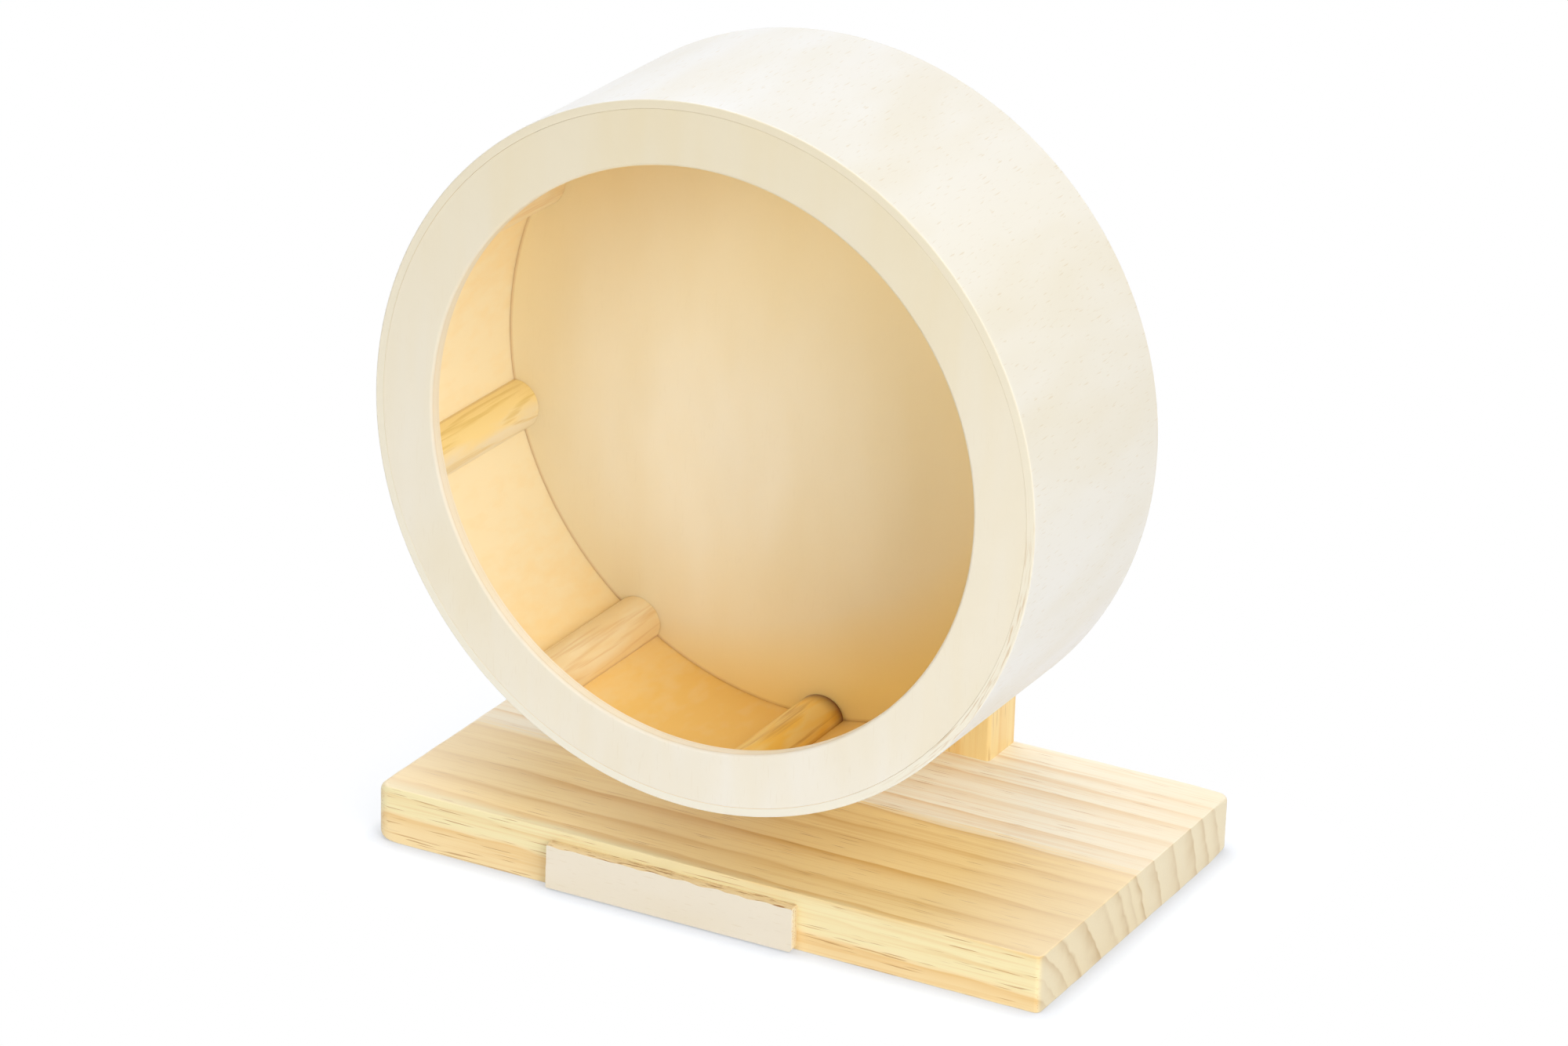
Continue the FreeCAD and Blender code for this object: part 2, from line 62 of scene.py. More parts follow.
HOLE_STOP = 1.0
DRILL_STEPS = 48
BASE_STEP = 1.5
EASE_STEPS = 5
CAP_STEPS = (0.3, 0.6, 0.85, 1.0)
WELD = 0.0005
SHARP_EDGE = math.radians(40)


def box_mm(name):
    """The lowest and highest corners of a frame node, in millimetres."""
    return [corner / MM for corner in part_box(name)]


def linear(colour):
    """An sRGB hex colour as the linear colour that a node holds."""
    channels = [int(colour[i:i + 2], 16) / 255 for i in (1, 3, 5)]
    return [c / 12.92 if c <= 0.04045 else ((c + 0.055) / 1.055) ** 2.4 for c in channels] + [1.0]


def node(tree, kind, links, out=0, stops=(), **settings):
    """Adds a node and returns the output that is asked for, if it has one. Links gives each input a socket to
    read or a value to hold, and stops gives a ramp its places and colours."""
    made = tree.nodes.new("ShaderNode" + kind)
    for setting, value in settings.items():
        setattr(made, setting, value)
    for i, (position, colour) in enumerate(stops):
        stop = made.color_ramp.elements[i] if i < 2 else made.color_ramp.elements.new(position)
        stop.position = position
        stop.color = colour
    for place, value in links.items():
        if isinstance(value, bpy.types.NodeSocket):
            tree.links.new(value, made.inputs[place])
        else:
            made.inputs[place].default_value = value
    return made.outputs[out] if made.outputs else None


def new_material(name):
    """A material with its tree and its shader."""
    material = bpy.data.materials.new(name)
    material.use_nodes = True
    return material, material.node_tree, material.node_tree.nodes["Principled BSDF"]


def set_shader(tree, shader, colour, texture, roughness, held, relief=None, bump=(0.0, 0.0)):
    """Links a shader to its colour, to a roughness that follows the texture, and to a relief, if it has one.
    Bump gives the relief's strength and its depth in millimetres, and held the values of other sockets."""
    tree.links.new(colour, shader.inputs["Base Color"])
    gloss = node(tree, "MapRange", {"Value": texture, "To Min": roughness[0], "To Max": roughness[1]})
    tree.links.new(gloss, shader.inputs["Roughness"])
    if relief is not None:
        strength, depth = bump
        raised = node(tree, "Bump", {"Height": relief, "Strength": strength, "Distance": depth * MM})
        tree.links.new(raised, shader.inputs["Normal"])
    for socket, value in held.items():
        shader.inputs[socket].default_value = value


def grain_place(tree, letters, origin=(0, 0, 0)):
    """Millimetres along the grain, across it and into the wood: letters picks the axis that each follows."""
    place = node(tree, "TexCoord", {}, "Object")
    moved = node(tree, "Mapping", {"Vector": place, "Scale": (1 / MM, 1 / MM, 1 / MM),
                                   "Location": [-part for part in origin]})
    axes = node(tree, "SeparateXYZ", {0: moved}).node.outputs
    return node(tree, "CombineXYZ", {i: axes[letter] for i, letter in enumerate(letters)})


def fibres(tree, lie, length, width, detail=2.0):
    """Noise drawn out along the grain: streaks about that long and that wide, in millimetres."""
    drawn = node(tree, "VectorMath", {0: lie, 1: (1 / length, 1 / width, 1 / width)}, operation="MULTIPLY")
    return node(tree, "TexNoise", {"Vector": drawn, "Scale": 1.0, "Detail": detail})


# A Mix node's two colours and its result, and the spans that hold most of a noise's values.
MIX_A, MIX_B, MIX_OUT = 6, 7, 2
WIDE_NOISE = {"From Min": 0.25, "From Max": 0.75}
NARROW_NOISE = {"From Min": 0.3, "From Max": 0.7}
# Each year's end in millimetres from the heart, with how dark its late wood is.
YEAR_ENDS = ((63.0, 0.5), (73.4, 0.6), (77.5, 0.35), (83.4, 0.8), (90.6, 1.0), (100.8, 1.0), (110.0, 0.5),
             (117.3, 0.9), (122.3, 0.45), (127.4, 1.0), (137.0, 0.75), (147.6, 0.7), (158.4, 0.75),
             (166.2, 0.7), (173.1, 0.7))
YEAR_SPAN = 190.0
YEAR_EDGE = 0.3
RIPENING = 2.6
# Length, width and reach in millimetres of the years' slow drift and short ripple along the grain.
YEAR_SWAYS = ((120.0, 35.0, 0.5), (24.0, 5.0, 0.6))
FADE_SIZE = (70.0, 7.0)
LATE_FADE = {**NARROW_NOISE, "To Min": 0.5}
# Where tan wood turns yellow, yellow turns honey and honey turns to sapwood. On the base the honey is partly
# the
# wood's own tone and partly painted shade under the drum. The sapwood's edge shifts along the board and
# frays:
# its distances have the fray's usual part added.
CORE_EDGE = (73.0, 73.8)
YOUNG_EDGE = (81.0, 83.4)
SAP_EDGE = {"From Min": 132.2, "From Max": 136.7}
SAP_SHIFT = {"From Min": -75.0, "From Max": -210.0, "To Max": 11.0}
SAP_FRAY = 12.0
# Real fibres are about 0.05 mm wide and resin ducts about 0.2 mm: both are drawn wider, so that they show.
PINE_FIBRE = (45.0, 0.8)
PINE_STREAK = {"From Min": 0.50, "From Max": 0.66, "To Max": 0.22}
DUCT_SIZE = (12.0, 0.4)
RESIN_DUCT = {"From Min": 0.73, "From Max": 0.80, "To Max": 0.6}
FACING_UP = {"From Min": 0.5, "From Max": 0.9}
PAINTED_LIGHT_SHARE = 0.6
END_GRAIN = {"From Min": 0.5, "From Max": 0.95, "To Max": 0.92}
WOOD_ROUGHNESS = (0.38, 0.54)
SANDED_WOOD = {"IOR": 1.5, "Sheen Weight": 0.15}
FIBRE_RELIEF = 0.5
PINE_BUMP = (0.25, 0.15)


def growth_years(tree, lie, lean, tight):
    """How far from the heart the wood grew, in millimetres and as a share of the years' span, and how late in
    its year: early wood ripens slowly and stops sharply at the year's end."""
    leaning = node(tree, "Mapping", {"Vector": lie, "Rotation": (0, math.radians(lean), 0)})
    across = node(tree, "VectorMath", {0: leaning, 1: (0, 1, 1)}, operation="MULTIPLY")
    radius = node(tree, "VectorMath", {0: across}, "Value", operation="LENGTH")
    for length, width, reach in YEAR_SWAYS:
        sway = node(tree, "MapRange", {"Value": fibres(tree, lie, length, width, 1.0), **WIDE_NOISE,
                                       "To Min": -reach / tight, "To Max": reach / tight})
        radius = node(tree, "Math", {0: radius, 1: sway}, operation="ADD")
    share = node(tree, "Math", {0: radius, 1: YEAR_SPAN / tight}, operation="DIVIDE")
    stops = [(0.0, (0, 0, 0, 1))]
    for end, depth in YEAR_ENDS:
        tone = depth ** (1 / RIPENING)
        stops.append(((end - YEAR_EDGE) / YEAR_SPAN, (tone, tone, tone, 1)))
        stops.append(((end + YEAR_EDGE) / YEAR_SPAN, (0, 0, 0, 1)))
    years = node(tree, "ValToRGB", {0: share}, stops=stops)
    ripe = node(tree, "Math", {0: years, 1: RIPENING}, operation="POWER")
    fading = node(tree, "MapRange", {"Value": fibres(tree, lie, *FADE_SIZE, 1.0), **LATE_FADE})
    lateness = node(tree, "Math", {0: ripe, 1: fading}, operation="MULTIPLY", use_clamp=True)
    return radius, share, lateness


def ringed_wood(name, letters, heart, colours, lean=0.0, tight=1.0, painted_light_ends=None):
    """Planed radiata pine, and the hub's wood, whose years are tighter: pale early wood that deepens to a tan
    late band. It is tan at the heart, then yellow, honey and at last pale sapwood, which comes further in
    towards the left. On the base the honey is partly the wood's own tone and partly painted shade where the
    drum shades the board. Fine fibres and short dark resin ducts run along it, and its ends are greyer.
    The last argument gives the distances from the middle between which its upper face pales: this paling is
    painted light on the ends of the board's top, out of the drum's shade."""
    core, young, honey_and_drum_shade, early, late = [linear(colour) for colour in colours]
    material, tree, shader = new_material(name)
    lie = grain_place(tree, letters, heart)
    radius, share, lateness = growth_years(tree, lie, lean, tight)
    zones = zip((*CORE_EDGE, *YOUNG_EDGE), (core, young, young, honey_and_drum_shade))
    colour = node(tree, "ValToRGB", {0: share}, stops=[(edge / YEAR_SPAN, zone) for edge, zone in zones])
    from_heart = node(tree, "SeparateXYZ", {0: lie}, "X")
    shift = node(tree, "MapRange", {"Value": from_heart, **SAP_SHIFT})
    shifted = node(tree, "Math", {0: radius, 1: shift}, operation="ADD")
    fibre = fibres(tree, lie, *PINE_FIBRE)
    frayed = node(tree, "Math", {0: fibre, 1: SAP_FRAY, 2: shifted}, operation="MULTIPLY_ADD")
    sap = node(tree, "MapRange", {"Value": frayed, **SAP_EDGE})
    streak = node(tree, "MapRange", {"Value": fibre, **PINE_STREAK})
    duct = node(tree, "MapRange", {"Value": fibres(tree, lie, *DUCT_SIZE, 0.0), **RESIN_DUCT})
    layers = [(sap, early), (lateness, late), (streak, late), (duct, linear("#B0742A"))]
    facing = node(tree, "SeparateXYZ", {0: node(tree, "TexCoord", {}, "Normal")}).node.outputs
    # Painted light: the ends of an upward face are painted paler, where the drum's shade no longer falls.
    if painted_light_ends:
        along = node(tree, "SeparateXYZ", {0: grain_place(tree, letters)}, "X")
        off = node(tree, "Math", {0: along}, operation="ABSOLUTE")
        painted_light_along = node(tree, "MapRange", {"Value": off, "From Min": painted_light_ends[0], "From Max": painted_light_ends[1],
                                         "To Max": PAINTED_LIGHT_SHARE})
        above = node(tree, "MapRange", {"Value": facing[letters[2]], **FACING_UP})
        pale = node(tree, "Math", {0: painted_light_along, 1: above}, operation="MULTIPLY")
        layers.append((pale, linear("#FDEBCB")))
    turned_out = node(tree, "Math", {0: facing[letters[0]]}, operation="ABSOLUTE")
    sawn = node(tree, "MapRange", {"Value": turned_out, **END_GRAIN})
    end_years = node(tree, "Mix", {0: lateness, MIX_A: linear("#E7D8B5"), MIX_B: linear("#BE9E68")}, MIX_OUT,
                     data_type="RGBA")
    layers.append((sawn, end_years))
    for laid, tint in layers:
        colour = node(tree, "Mix", {0: laid, MIX_A: colour, MIX_B: tint}, MIX_OUT, data_type="RGBA")
    relief = node(tree, "Math", {0: fibre, 1: FIBRE_RELIEF, 2: duct}, operation="MULTIPLY_ADD")
    set_shader(tree, shader, colour, fibre, WOOD_ROUGHNESS, SANDED_WOOD, relief, PINE_BUMP)
    return material


def rounded(corners, step):
    """A closed outline through (u, v, radius) corners: arcs there unless the radius is 0, points between."""
    bends = []
    for i, (u, v, radius) in enumerate(corners):
        corner = Vector((u, v))
        if radius == 0:
            bends.append([corner])
            continue
        back = (Vector(corners[i - 1][:2]) - corner).normalized()
        ahead = (Vector(corners[(i + 1) % len(corners)][:2]) - corner).normalized()
        half = back.angle(ahead) / 2
        centre = corner + (back + ahead).normalized() * radius / math.sin(half)
        start = corner + back * radius / math.tan(half) - centre
        end = corner + ahead * radius / math.tan(half) - centre
        cuts = max(EASE_STEPS, math.ceil(radius * (math.pi - 2 * half) / step))
        bends.append([centre + start.slerp(end, k / cuts).normalized() * radius for k in range(cuts + 1)])
    outline = []
    for bend, following in zip(bends, bends[1:] + bends[:1]):
        run = following[0] - bend[-1]
        cuts = math.ceil(run.length / step)
        outline += bend + [bend[-1] + run * k / cuts for k in range(1, cuts)]
    return outline


def lofted(name, loops, material, ringed=False):
    """A piece through loops of equally many points, in millimetres: ends are capped, or joined if ringed."""
    if not ringed:
        for end in (0, -1):
            middle = sum((Vector(point) for point in loops[end]), Vector()) / len(loops[end])
            inset = [[Vector(point).lerp(middle, step) for point in loops[end]] for step in CAP_STEPS]
            loops = inset[::-1] + loops if end == 0 else loops + inset
    rows, count = len(loops), len(loops[0])
    faces = []
    for row in range(rows if ringed else rows - 1):
        for i in range(count):
            corners = ((row, i), (row, i + 1), (row + 1, i + 1), (row + 1, i))
            faces.append([(r % rows) * count + c % count for r, c in corners])
    mesh = bpy.data.meshes.new(name)
    mesh.from_pydata([Vector(point) * MM for loop in loops for point in loop], [], faces)
    shaped = bmesh.new()
    shaped.from_mesh(mesh)
    bmesh.ops.remove_doubles(shaped, verts=shaped.verts, dist=WELD * MM)
    bmesh.ops.recalc_face_normals(shaped, faces=shaped.faces)
    shaped.to_mesh(mesh)
    shaped.free()
    mesh.shade_smooth()
    mesh.set_sharp_from_angle(angle=SHARP_EDGE)
    mesh.materials.append(material)
    piece = bpy.data.objects.new(name, mesh)
    bpy.context.scene.collection.objects.link(piece)
    piece.modifiers.new("even_shading", "WEIGHTED_NORMAL").keep_sharp = True
    return piece


def eased(outline, low, high, ease, lay, foot=False):
    """Loops of a board with that outline from low to high, its edges rounded by ease at each point.
    The lay turns outline and height into a place; a board on its foot keeps its lowest edge square."""
    loops = []
    foot_level = min(point.y for point in outline)
    for level, inward in ((low, 1), (high, -1)):
        quarter = [k / EASE_STEPS * math.pi / 2 for k in range(EASE_STEPS + 1)]
        for angle in quarter if inward == 1 else reversed(quarter):
            loop = []
            for i, point in enumerate(outline):
                along = outline[(i + 1) % len(outline)] - outline[i - 1]
                outward = Vector((along.y, -along.x)).normalized()
                if foot and point.y == foot_level:
                    outward = Vector((round(outward.x), 0))
                reach = ease(point)
                set_in = point - outward * reach * (1 - math.sin(angle))
                loop.append(lay(set_in, level + inward * reach * (1 - math.cos(angle))))
            loops.append(loop)
    return loops


def drilled(piece, profile, x, y):
    """Cuts an upright hole out of a piece: profile gives its radius at each height, from end to end."""
    angles = [2 * math.pi * k / DRILL_STEPS for k in range(DRILL_STEPS)]
    loops = [[(x + radius * math.cos(a), y + radius * math.sin(a), height) for a in angles]
             for radius, height in profile]
    drill = lofted("drill", loops, piece.data.materials[0])
    cut = piece.modifiers.new("hole", "BOOLEAN")
    cut.object = drill
    cut.operation = "DIFFERENCE"
    bpy.context.view_layer.update()
    view = bpy.context.evaluated_depsgraph_get()
    whole = piece.data
    piece.modifiers["even_shading"].show_viewport = False
    view.update()
    piece.data = bpy.data.meshes.new_from_object(piece.evaluated_get(view))
    piece.modifiers["even_shading"].show_viewport = True
    piece.modifiers.remove(cut)
    bpy.data.meshes.remove(whole)
    bpy.data.objects.remove(drill)


base_low, base_high = box_mm("base_board")
# The base's honey is partly painted shade under the drum, and the paler ends of its top are painted light.
base_pine = ringed_wood("planed_pine_base", "XYZ", (105.0, -110.0, -49.0),
                        ("#F7E0AE", "#F3E5B4", "#FFE09C", "#FFF8E4", "#DDA748"), lean=-1.04,
                        painted_light_ends=(62.0, 105.0))
base_corners = [(base_low.x, base_low.y), (base_high.x, base_low.y),
                (base_high.x, base_high.y), (base_low.x, base_high.y)]
base_outline = rounded([(*corner, radius) for corner, radius in zip(base_corners, BASE_CORNERS)], BASE_STEP)


def sanded_by_hand(point):
    """How far the base's edge is eased there: most at the worn left end and at one corner."""
    worn = max(0.0, base_low.x + WORN_LENGTH - point.x) / WORN_LENGTH
    from_corner = (point - Vector((base_high.x, base_high.y))).length
    knocked = max(0.0, 1 - from_corner / CORNER_LENGTH)
    waver = EASE_WAVER * noise.noise(Vector((point.x, point.y, 0)) / EASE_WAVE)
    return BASE_EASE + WORN_EASE * worn + CORNER_EASE * knocked + waver


pine_base = lofted("pine_base", eased(base_outline, base_low.z, base_high.z, sanded_by_hand,
                                      lambda point, level: (point.x, point.y, level)), base_pine)
screw_low, screw_high = box_mm("upright_screws")
sink_top = base_low.z + COUNTERSINK_LIP + COUNTERSINK - SCREW_HOLE
sink = [(COUNTERSINK, base_low.z - DRILL_PAST), (COUNTERSINK, base_low.z + COUNTERSINK_LIP),
        (SCREW_HOLE, sink_top), (SCREW_HOLE, base_high.z - HOLE_STOP)]
for side in (-1, 1):
    drilled(pine_base, sink, side * SCREW_SPACING / 2, (screw_low.y + screw_high.y) / 2)
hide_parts("base_board")
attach(pine_base, "stand")

# Upright: a second pine board, sawn to a half circle at the top and stood on the back of the base with its
# grain upright. It carries the axle. Its faces are planed, and its edges are eased just enough to handle.
UPRIGHT_EASE = 1.2
NEARLY_HALF = 0.999
upright_low, upright_high = box_mm("upright_board")
upright_arc = (upright_high.x - upright_low.x) / 2 * NEARLY_HALF
upright_pine = ringed_wood("planed_pine_upright", "ZXY", (-20.0, 120.0, 0.0),
                           ("#FBDF9E", "#FBDF9E", "#FBDF9E", "#FBDF9E", "#F0C274"), lean=0.6)
upright_outline = rounded([(upright_low.x, upright_low.z, 0), (upright_high.x, upright_low.z, 0),
                           (upright_high.x, upright_high.z, upright_arc),
                           (upright_low.x, upright_high.z, upright_arc)], BASE_STEP)
upright_loops = eased(upright_outline, upright_low.y, upright_high.y, lambda point: UPRIGHT_EASE,
                      lambda point, level: (point.x, level, point.y), foot=True)
pine_upright = lofted("pine_upright", upright_loops, upright_pine)
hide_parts("upright_board")
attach(pine_upright, "stand")

# Screws: two countersunk wood screws driven up through the base into the upright, cold-headed from steel wire
# and zinc plated. Their heads show in the underside of the base.
ZINC_CLOUD = 3.0
# Real scratches are a hundredth of a millimetre wide: they are drawn wider, so that they show.
ZINC_SCRATCH = (2.5, 0.12)
ZINC_ROUGHNESS = (0.24, 0.42)
ZINC_BUMP = (0.1, 0.02)
METAL = {"Metallic": 1.0}


def zinc_plated_steel(name):
    """Bright zinc on cold-formed steel: a slightly blue grey metal with cloudy patches and fine scratches."""
    material, tree, shader = new_material(name)
    place = grain_place(tree, "XYZ")
    cloud = fibres(tree, place, ZINC_CLOUD, ZINC_CLOUD, 4.0)
    metal = node(tree, "Mix", {0: cloud, MIX_A: linear("#B4B8BC"), MIX_B: linear("#DFE1E2")}, MIX_OUT,
                 data_type="RGBA")
    scratch = fibres(tree, place, *ZINC_SCRATCH, 1.0)
    scratched = node(tree, "MapRange", {"Value": scratch, **NARROW_NOISE})
    set_shader(tree, shader, metal, scratched, ZINC_ROUGHNESS, METAL, scratch, ZINC_BUMP)
    return material


def dress(material, *names):
    """Gives frame nodes that show as they are their material."""
    for name in names:
        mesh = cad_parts[name].data
        mesh.materials.clear()
        mesh.materials.append(material)


zinc = zinc_plated_steel("zinc_plated_steel")
dress(zinc, "upright_screws")

# Front strip: a narrow offcut of three-ply plywood glued to the front edge of the base, with no finish on it.
# It was ripped on a saw, so its cut edges are torn and brown while its face is a clean pale veneer.
STRIP_CORNERS = (0.4, 1.0, 0.4, 0.4)
STRIP_STEP = 0.5
STRIP_LEVELS = 9
FACE_LEVELS = 3
STRIP_TEAR = 0.14
TEAR_LENGTH = 1.6
PLY_TEAR = 3.0
SIDE_TEAR = 0.3
LIFTED_VENEER = 0.54
LIFT_LENGTH = 5.0
STRIP_RAGGED = 0.6
FURRED_UP = {"From Min": 0.2, "From Max": 0.5}
SCORCH_SIZE = (5.0, 0.5)
SCORCHED = {"From Min": 0.54, "From Max": 0.68}
VENEER = 0.8
PLY_GLUE = 0.12
RAGGED_SIZE = (5.0, 0.7)
CLOUD_SIZE = (60.0, 22.0)
VENEER_CLOUD = {"From Min": 0.4, "From Max": 0.7}
# Real pores are about 0.1 mm wide and fibres finer still: both are drawn wider, so that they show.
PORE_SIZE = (4.0, 0.5)
VENEER_PORE = {"From Min": 0.70, "From Max": 0.80}
VENEER_FIBRE = (20.0, 0.6)
VENEER_ROUGHNESS = (0.42, 0.6)
SANDED_VENEER = {"IOR": 1.5, "Sheen Weight": 0.12}
VENEER_BUMP = (0.15, 0.1)


def plywood(name, place, sides, colours, thickness, ragged=0.1, fleck=0.18, marks=None):
    """Sanded three-ply: a pale face veneer with faint clouds and short flecks along its grain.
    Where it is cut, the glue lines and the darker core show as strips, torn by up to ragged millimetres.
    Marks adds what one piece alone shows."""
    face, back, core, glue = [linear(colour) for colour in colours]
    material, tree, shader = new_material(name)
    lie = place(tree)
    depth = node(tree, "SeparateXYZ", {0: lie}, "Z")
    tear = node(tree, "MapRange", {"Value": fibres(tree, lie, *RAGGED_SIZE), **WIDE_NOISE,
                                   "To Min": -ragged, "To Max": ragged})
    torn = node(tree, "Math", {0: depth, 1: tear}, operation="ADD")
    share = node(tree, "MapRange", {"Value": torn, "From Min": sides[0], "From Max": sides[1]})
    veneer = VENEER / thickness
    line = PLY_GLUE / thickness
    plies = node(tree, "ValToRGB", {0: share}, stops=[
        (0.0, face), (veneer, face), (veneer + line, glue), (veneer + 2 * line, core),
        (1 - veneer - 2 * line, core), (1 - veneer - line, glue), (1 - veneer, back)])
    cloud = node(tree, "MapRange", {"Value": fibres(tree, lie, *CLOUD_SIZE), **VENEER_CLOUD})
    clouded = node(tree, "Mix", {0: cloud, MIX_A: plies, MIX_B: linear("#FBF8F0")}, MIX_OUT,
                   data_type="RGBA", blend_type="MULTIPLY")
    flecks = node(tree, "MapRange", {"Value": fibres(tree, lie, *PORE_SIZE, 0.0), **VENEER_PORE,
                                     "To Max": fleck})
    colour = node(tree, "Mix", {0: flecks, MIX_A: clouded, MIX_B: linear("#CDB78C")}, MIX_OUT,
                  data_type="RGBA")
    if marks:
        colour = marks(tree, lie, colour)
    fibre = fibres(tree, lie, *VENEER_FIBRE)
    relief = node(tree, "Math", {0: fibre, 1: flecks}, operation="SUBTRACT")
    set_shader(tree, shader, colour, fibre, VENEER_ROUGHNESS, SANDED_VENEER, relief, VENEER_BUMP)
    return material


def saw_torn(tree, lie, colour):
    """The upper edge is furred by the saw: tan core, with brown scorched fibres lying along it."""
    up = node(tree, "SeparateXYZ", {0: node(tree, "TexCoord", {}, "Normal")}, "Z")
    above = node(tree, "MapRange", {"Value": up, **FURRED_UP})
    scorch = node(tree, "MapRange", {"Value": fibres(tree, lie, *SCORCH_SIZE), **SCORCHED})
    burnt = node(tree, "Math", {0: above, 1: scorch}, operation="MULTIPLY")
    for share, tint in ((above, "#E8CE9C"), (burnt, "#A67640")):
        colour = node(tree, "Mix", {0: share, MIX_A: colour, MIX_B: linear(tint)}, MIX_OUT, data_type="RGBA")
    return colour


strip_low, strip_high = box_mm("front_plate")
strip_ply = plywood("sawn_plywood_strip", lambda tree: grain_place(tree, "XZY"), (strip_low.y, strip_high.y),
                    ("#EAE0CD", "#E7D2A6", "#EBDCB8", "#C79F66"), strip_high.y - strip_low.y,
                    ragged=STRIP_RAGGED, marks=saw_torn)
strip_corners = [(strip_low.x, strip_low.z), (strip_high.x, strip_low.z),
                 (strip_high.x, strip_high.z), (strip_low.x, strip_high.z)]
strip_outline = rounded([(*corner, radius) for corner, radius in zip(strip_corners, STRIP_CORNERS)],
                        STRIP_STEP)
strip_middle = Vector((strip_low.x + strip_high.x, strip_low.z + strip_high.z)) / 2
strip_loops = []
for level in range(STRIP_LEVELS + 1):
    depth = strip_low.y + (strip_high.y - strip_low.y) * level / STRIP_LEVELS
    torn = STRIP_TEAR * min(1.0, level / FACE_LEVELS)
    lifted = LIFTED_VENEER * max(0.0, 1 - level / FACE_LEVELS)
    loop = []
    for point in strip_outline:
        tear = torn * (1 + noise.noise(Vector((point.x, point.y, depth * PLY_TEAR)) / TEAR_LENGTH))
        if point.y > strip_middle.y:
            tear += lifted * (1 + noise.noise(Vector((point.x / LIFT_LENGTH, 0, 0))))
        inward = (strip_middle - point).normalized()
        loop.append((point.x + inward.x * tear * SIDE_TEAR, depth,
                     point.y + math.copysign(tear, strip_middle.y - point.y)))
    strip_loops.append(loop)
front_strip = lofted("front_strip", strip_loops, strip_ply)
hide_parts("front_plate")
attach(front_strip, "stand")

# Axle: an M8 hexagon bolt, its head sunk in the hub, with a jam nut, two washers and a lock nut behind.
# The thread is rolled, so its crests are rounded. All of it is zinc plated, as are the spacers that keep the
# bearings apart.
BOLT_RADIUS = 3.97
BOLT_HEAD = 5.3
HEAD_FLATS = 0.94
HEAD_FACE = 0.85
HEAD_CHAMFER = 0.6
HEAD_FILLET = 0.4
THREAD_PITCH = 1.25
THREAD_DEPTH = 0.62
THREAD_ROWS = 8
THREAD_RUNOUT = 0.2
TIP_CHAMFER = 1.0
TIP_DROP = 0.6
BOLT_STEPS = 48
SIXTH = math.pi / 3
bolt_low, bolt_high = box_mm("axle_bolt")
axle = Vector((0.0, 0.0, (bolt_low.z + bolt_high.z) / 2))
thread_start = box_mm("hub_spacer")[0].y
head_half = (bolt_high.z - bolt_low.z) / 2


def turned(name, profile, material, steps, ringed=False):
    """A piece turned about the wheel's axle from (radius, y) points; a radius may depend on the angle."""
    loops = []
    for radius, y in profile:
        loop = []
        for k in range(steps):
            angle = 2 * math.pi * k / steps
            reach = radius(angle) if callable(radius) else radius
            loop.append(axle + Vector((reach * math.cos(angle), y, reach * math.sin(angle))))
        loops.append(loop)
    return lofted(name, loops, material, ringed)


def hexagon(angle):
    """The bolt head's radius at that angle, a hexagon with a flat to each side."""
    from_flat = (angle + SIXTH / 2) % SIXTH - SIXTH / 2
    return head_half * HEAD_FLATS / math.cos(from_flat)


def rolled_thread(y):
    """The thread's radius round the bolt at that y."""
    def radius(angle):
        turn = (y / THREAD_PITCH - angle / (2 * math.pi)) % 1.0
        crest = 0.5 - 0.5 * math.cos(2 * math.pi * turn)
        fade = min(1.0, (bolt_high.y - y) / TIP_CHAMFER)
        return BOLT_RADIUS - THREAD_DEPTH * (1 - crest) - (1 - fade) * TIP_DROP
    return radius


head_back = bolt_low.y + BOLT_HEAD
bolt_profile = [(head_half * HEAD_FACE, bolt_low.y), (hexagon, bolt_low.y + HEAD_CHAMFER),
                (hexagon, head_back), (BOLT_RADIUS + HEAD_FILLET, head_back),
                (BOLT_RADIUS, head_back + HEAD_FILLET), (BOLT_RADIUS, thread_start - THREAD_RUNOUT)]
thread_rows = math.floor((bolt_high.y - thread_start) / THREAD_PITCH * THREAD_ROWS)
for row in range(thread_rows + 1):
    thread_y = thread_start + (bolt_high.y - thread_start) * row / thread_rows
    bolt_profile.append((rolled_thread(thread_y), thread_y))
threaded_bolt = turned("threaded_bolt", bolt_profile, zinc, BOLT_STEPS)
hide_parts("axle_bolt")
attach(threaded_bolt, "stand")
dress(zinc, "head_shim", "bearing_spacer", "hub_spacer", "jam_nut", "front_washer", "rear_washer", "lock_nut")

# Ball bearings: two shielded deep-groove bearings of the common 8 by 22 by 7 mm size, pressed into the hub.
# Their races, balls and shields are ground and polished steel, and their cages are moulded nylon.
# The grinding lines and the moulded texture are drawn much coarser than real ones, so that they show.
STEEL_PARTS = ("outer_race", "inner_race", "balls", "shields")
GRINDING = (0.3, 6.0)
STEEL_ROUGHNESS = (0.1, 0.25)
NYLON_MOTTLE = 0.8
NYLON_ROUGHNESS = (0.35, 0.5)
NYLON_LIGHT = {"IOR": 1.53}


def polished_steel(name):
    """Ground bearing steel: a bright neutral metal with faint grinding lines round the axle."""
    material, tree, shader = new_material(name)
    grind = fibres(tree, grain_place(tree, "YXZ", tuple(axle)), *GRINDING)
    metal = node(tree, "Mix", {0: grind, MIX_A: linear("#BDBFC2"), MIX_B: linear("#D6D7D9")}, MIX_OUT,
                 data_type="RGBA")
    set_shader(tree, shader, metal, grind, STEEL_ROUGHNESS, METAL)
    return material


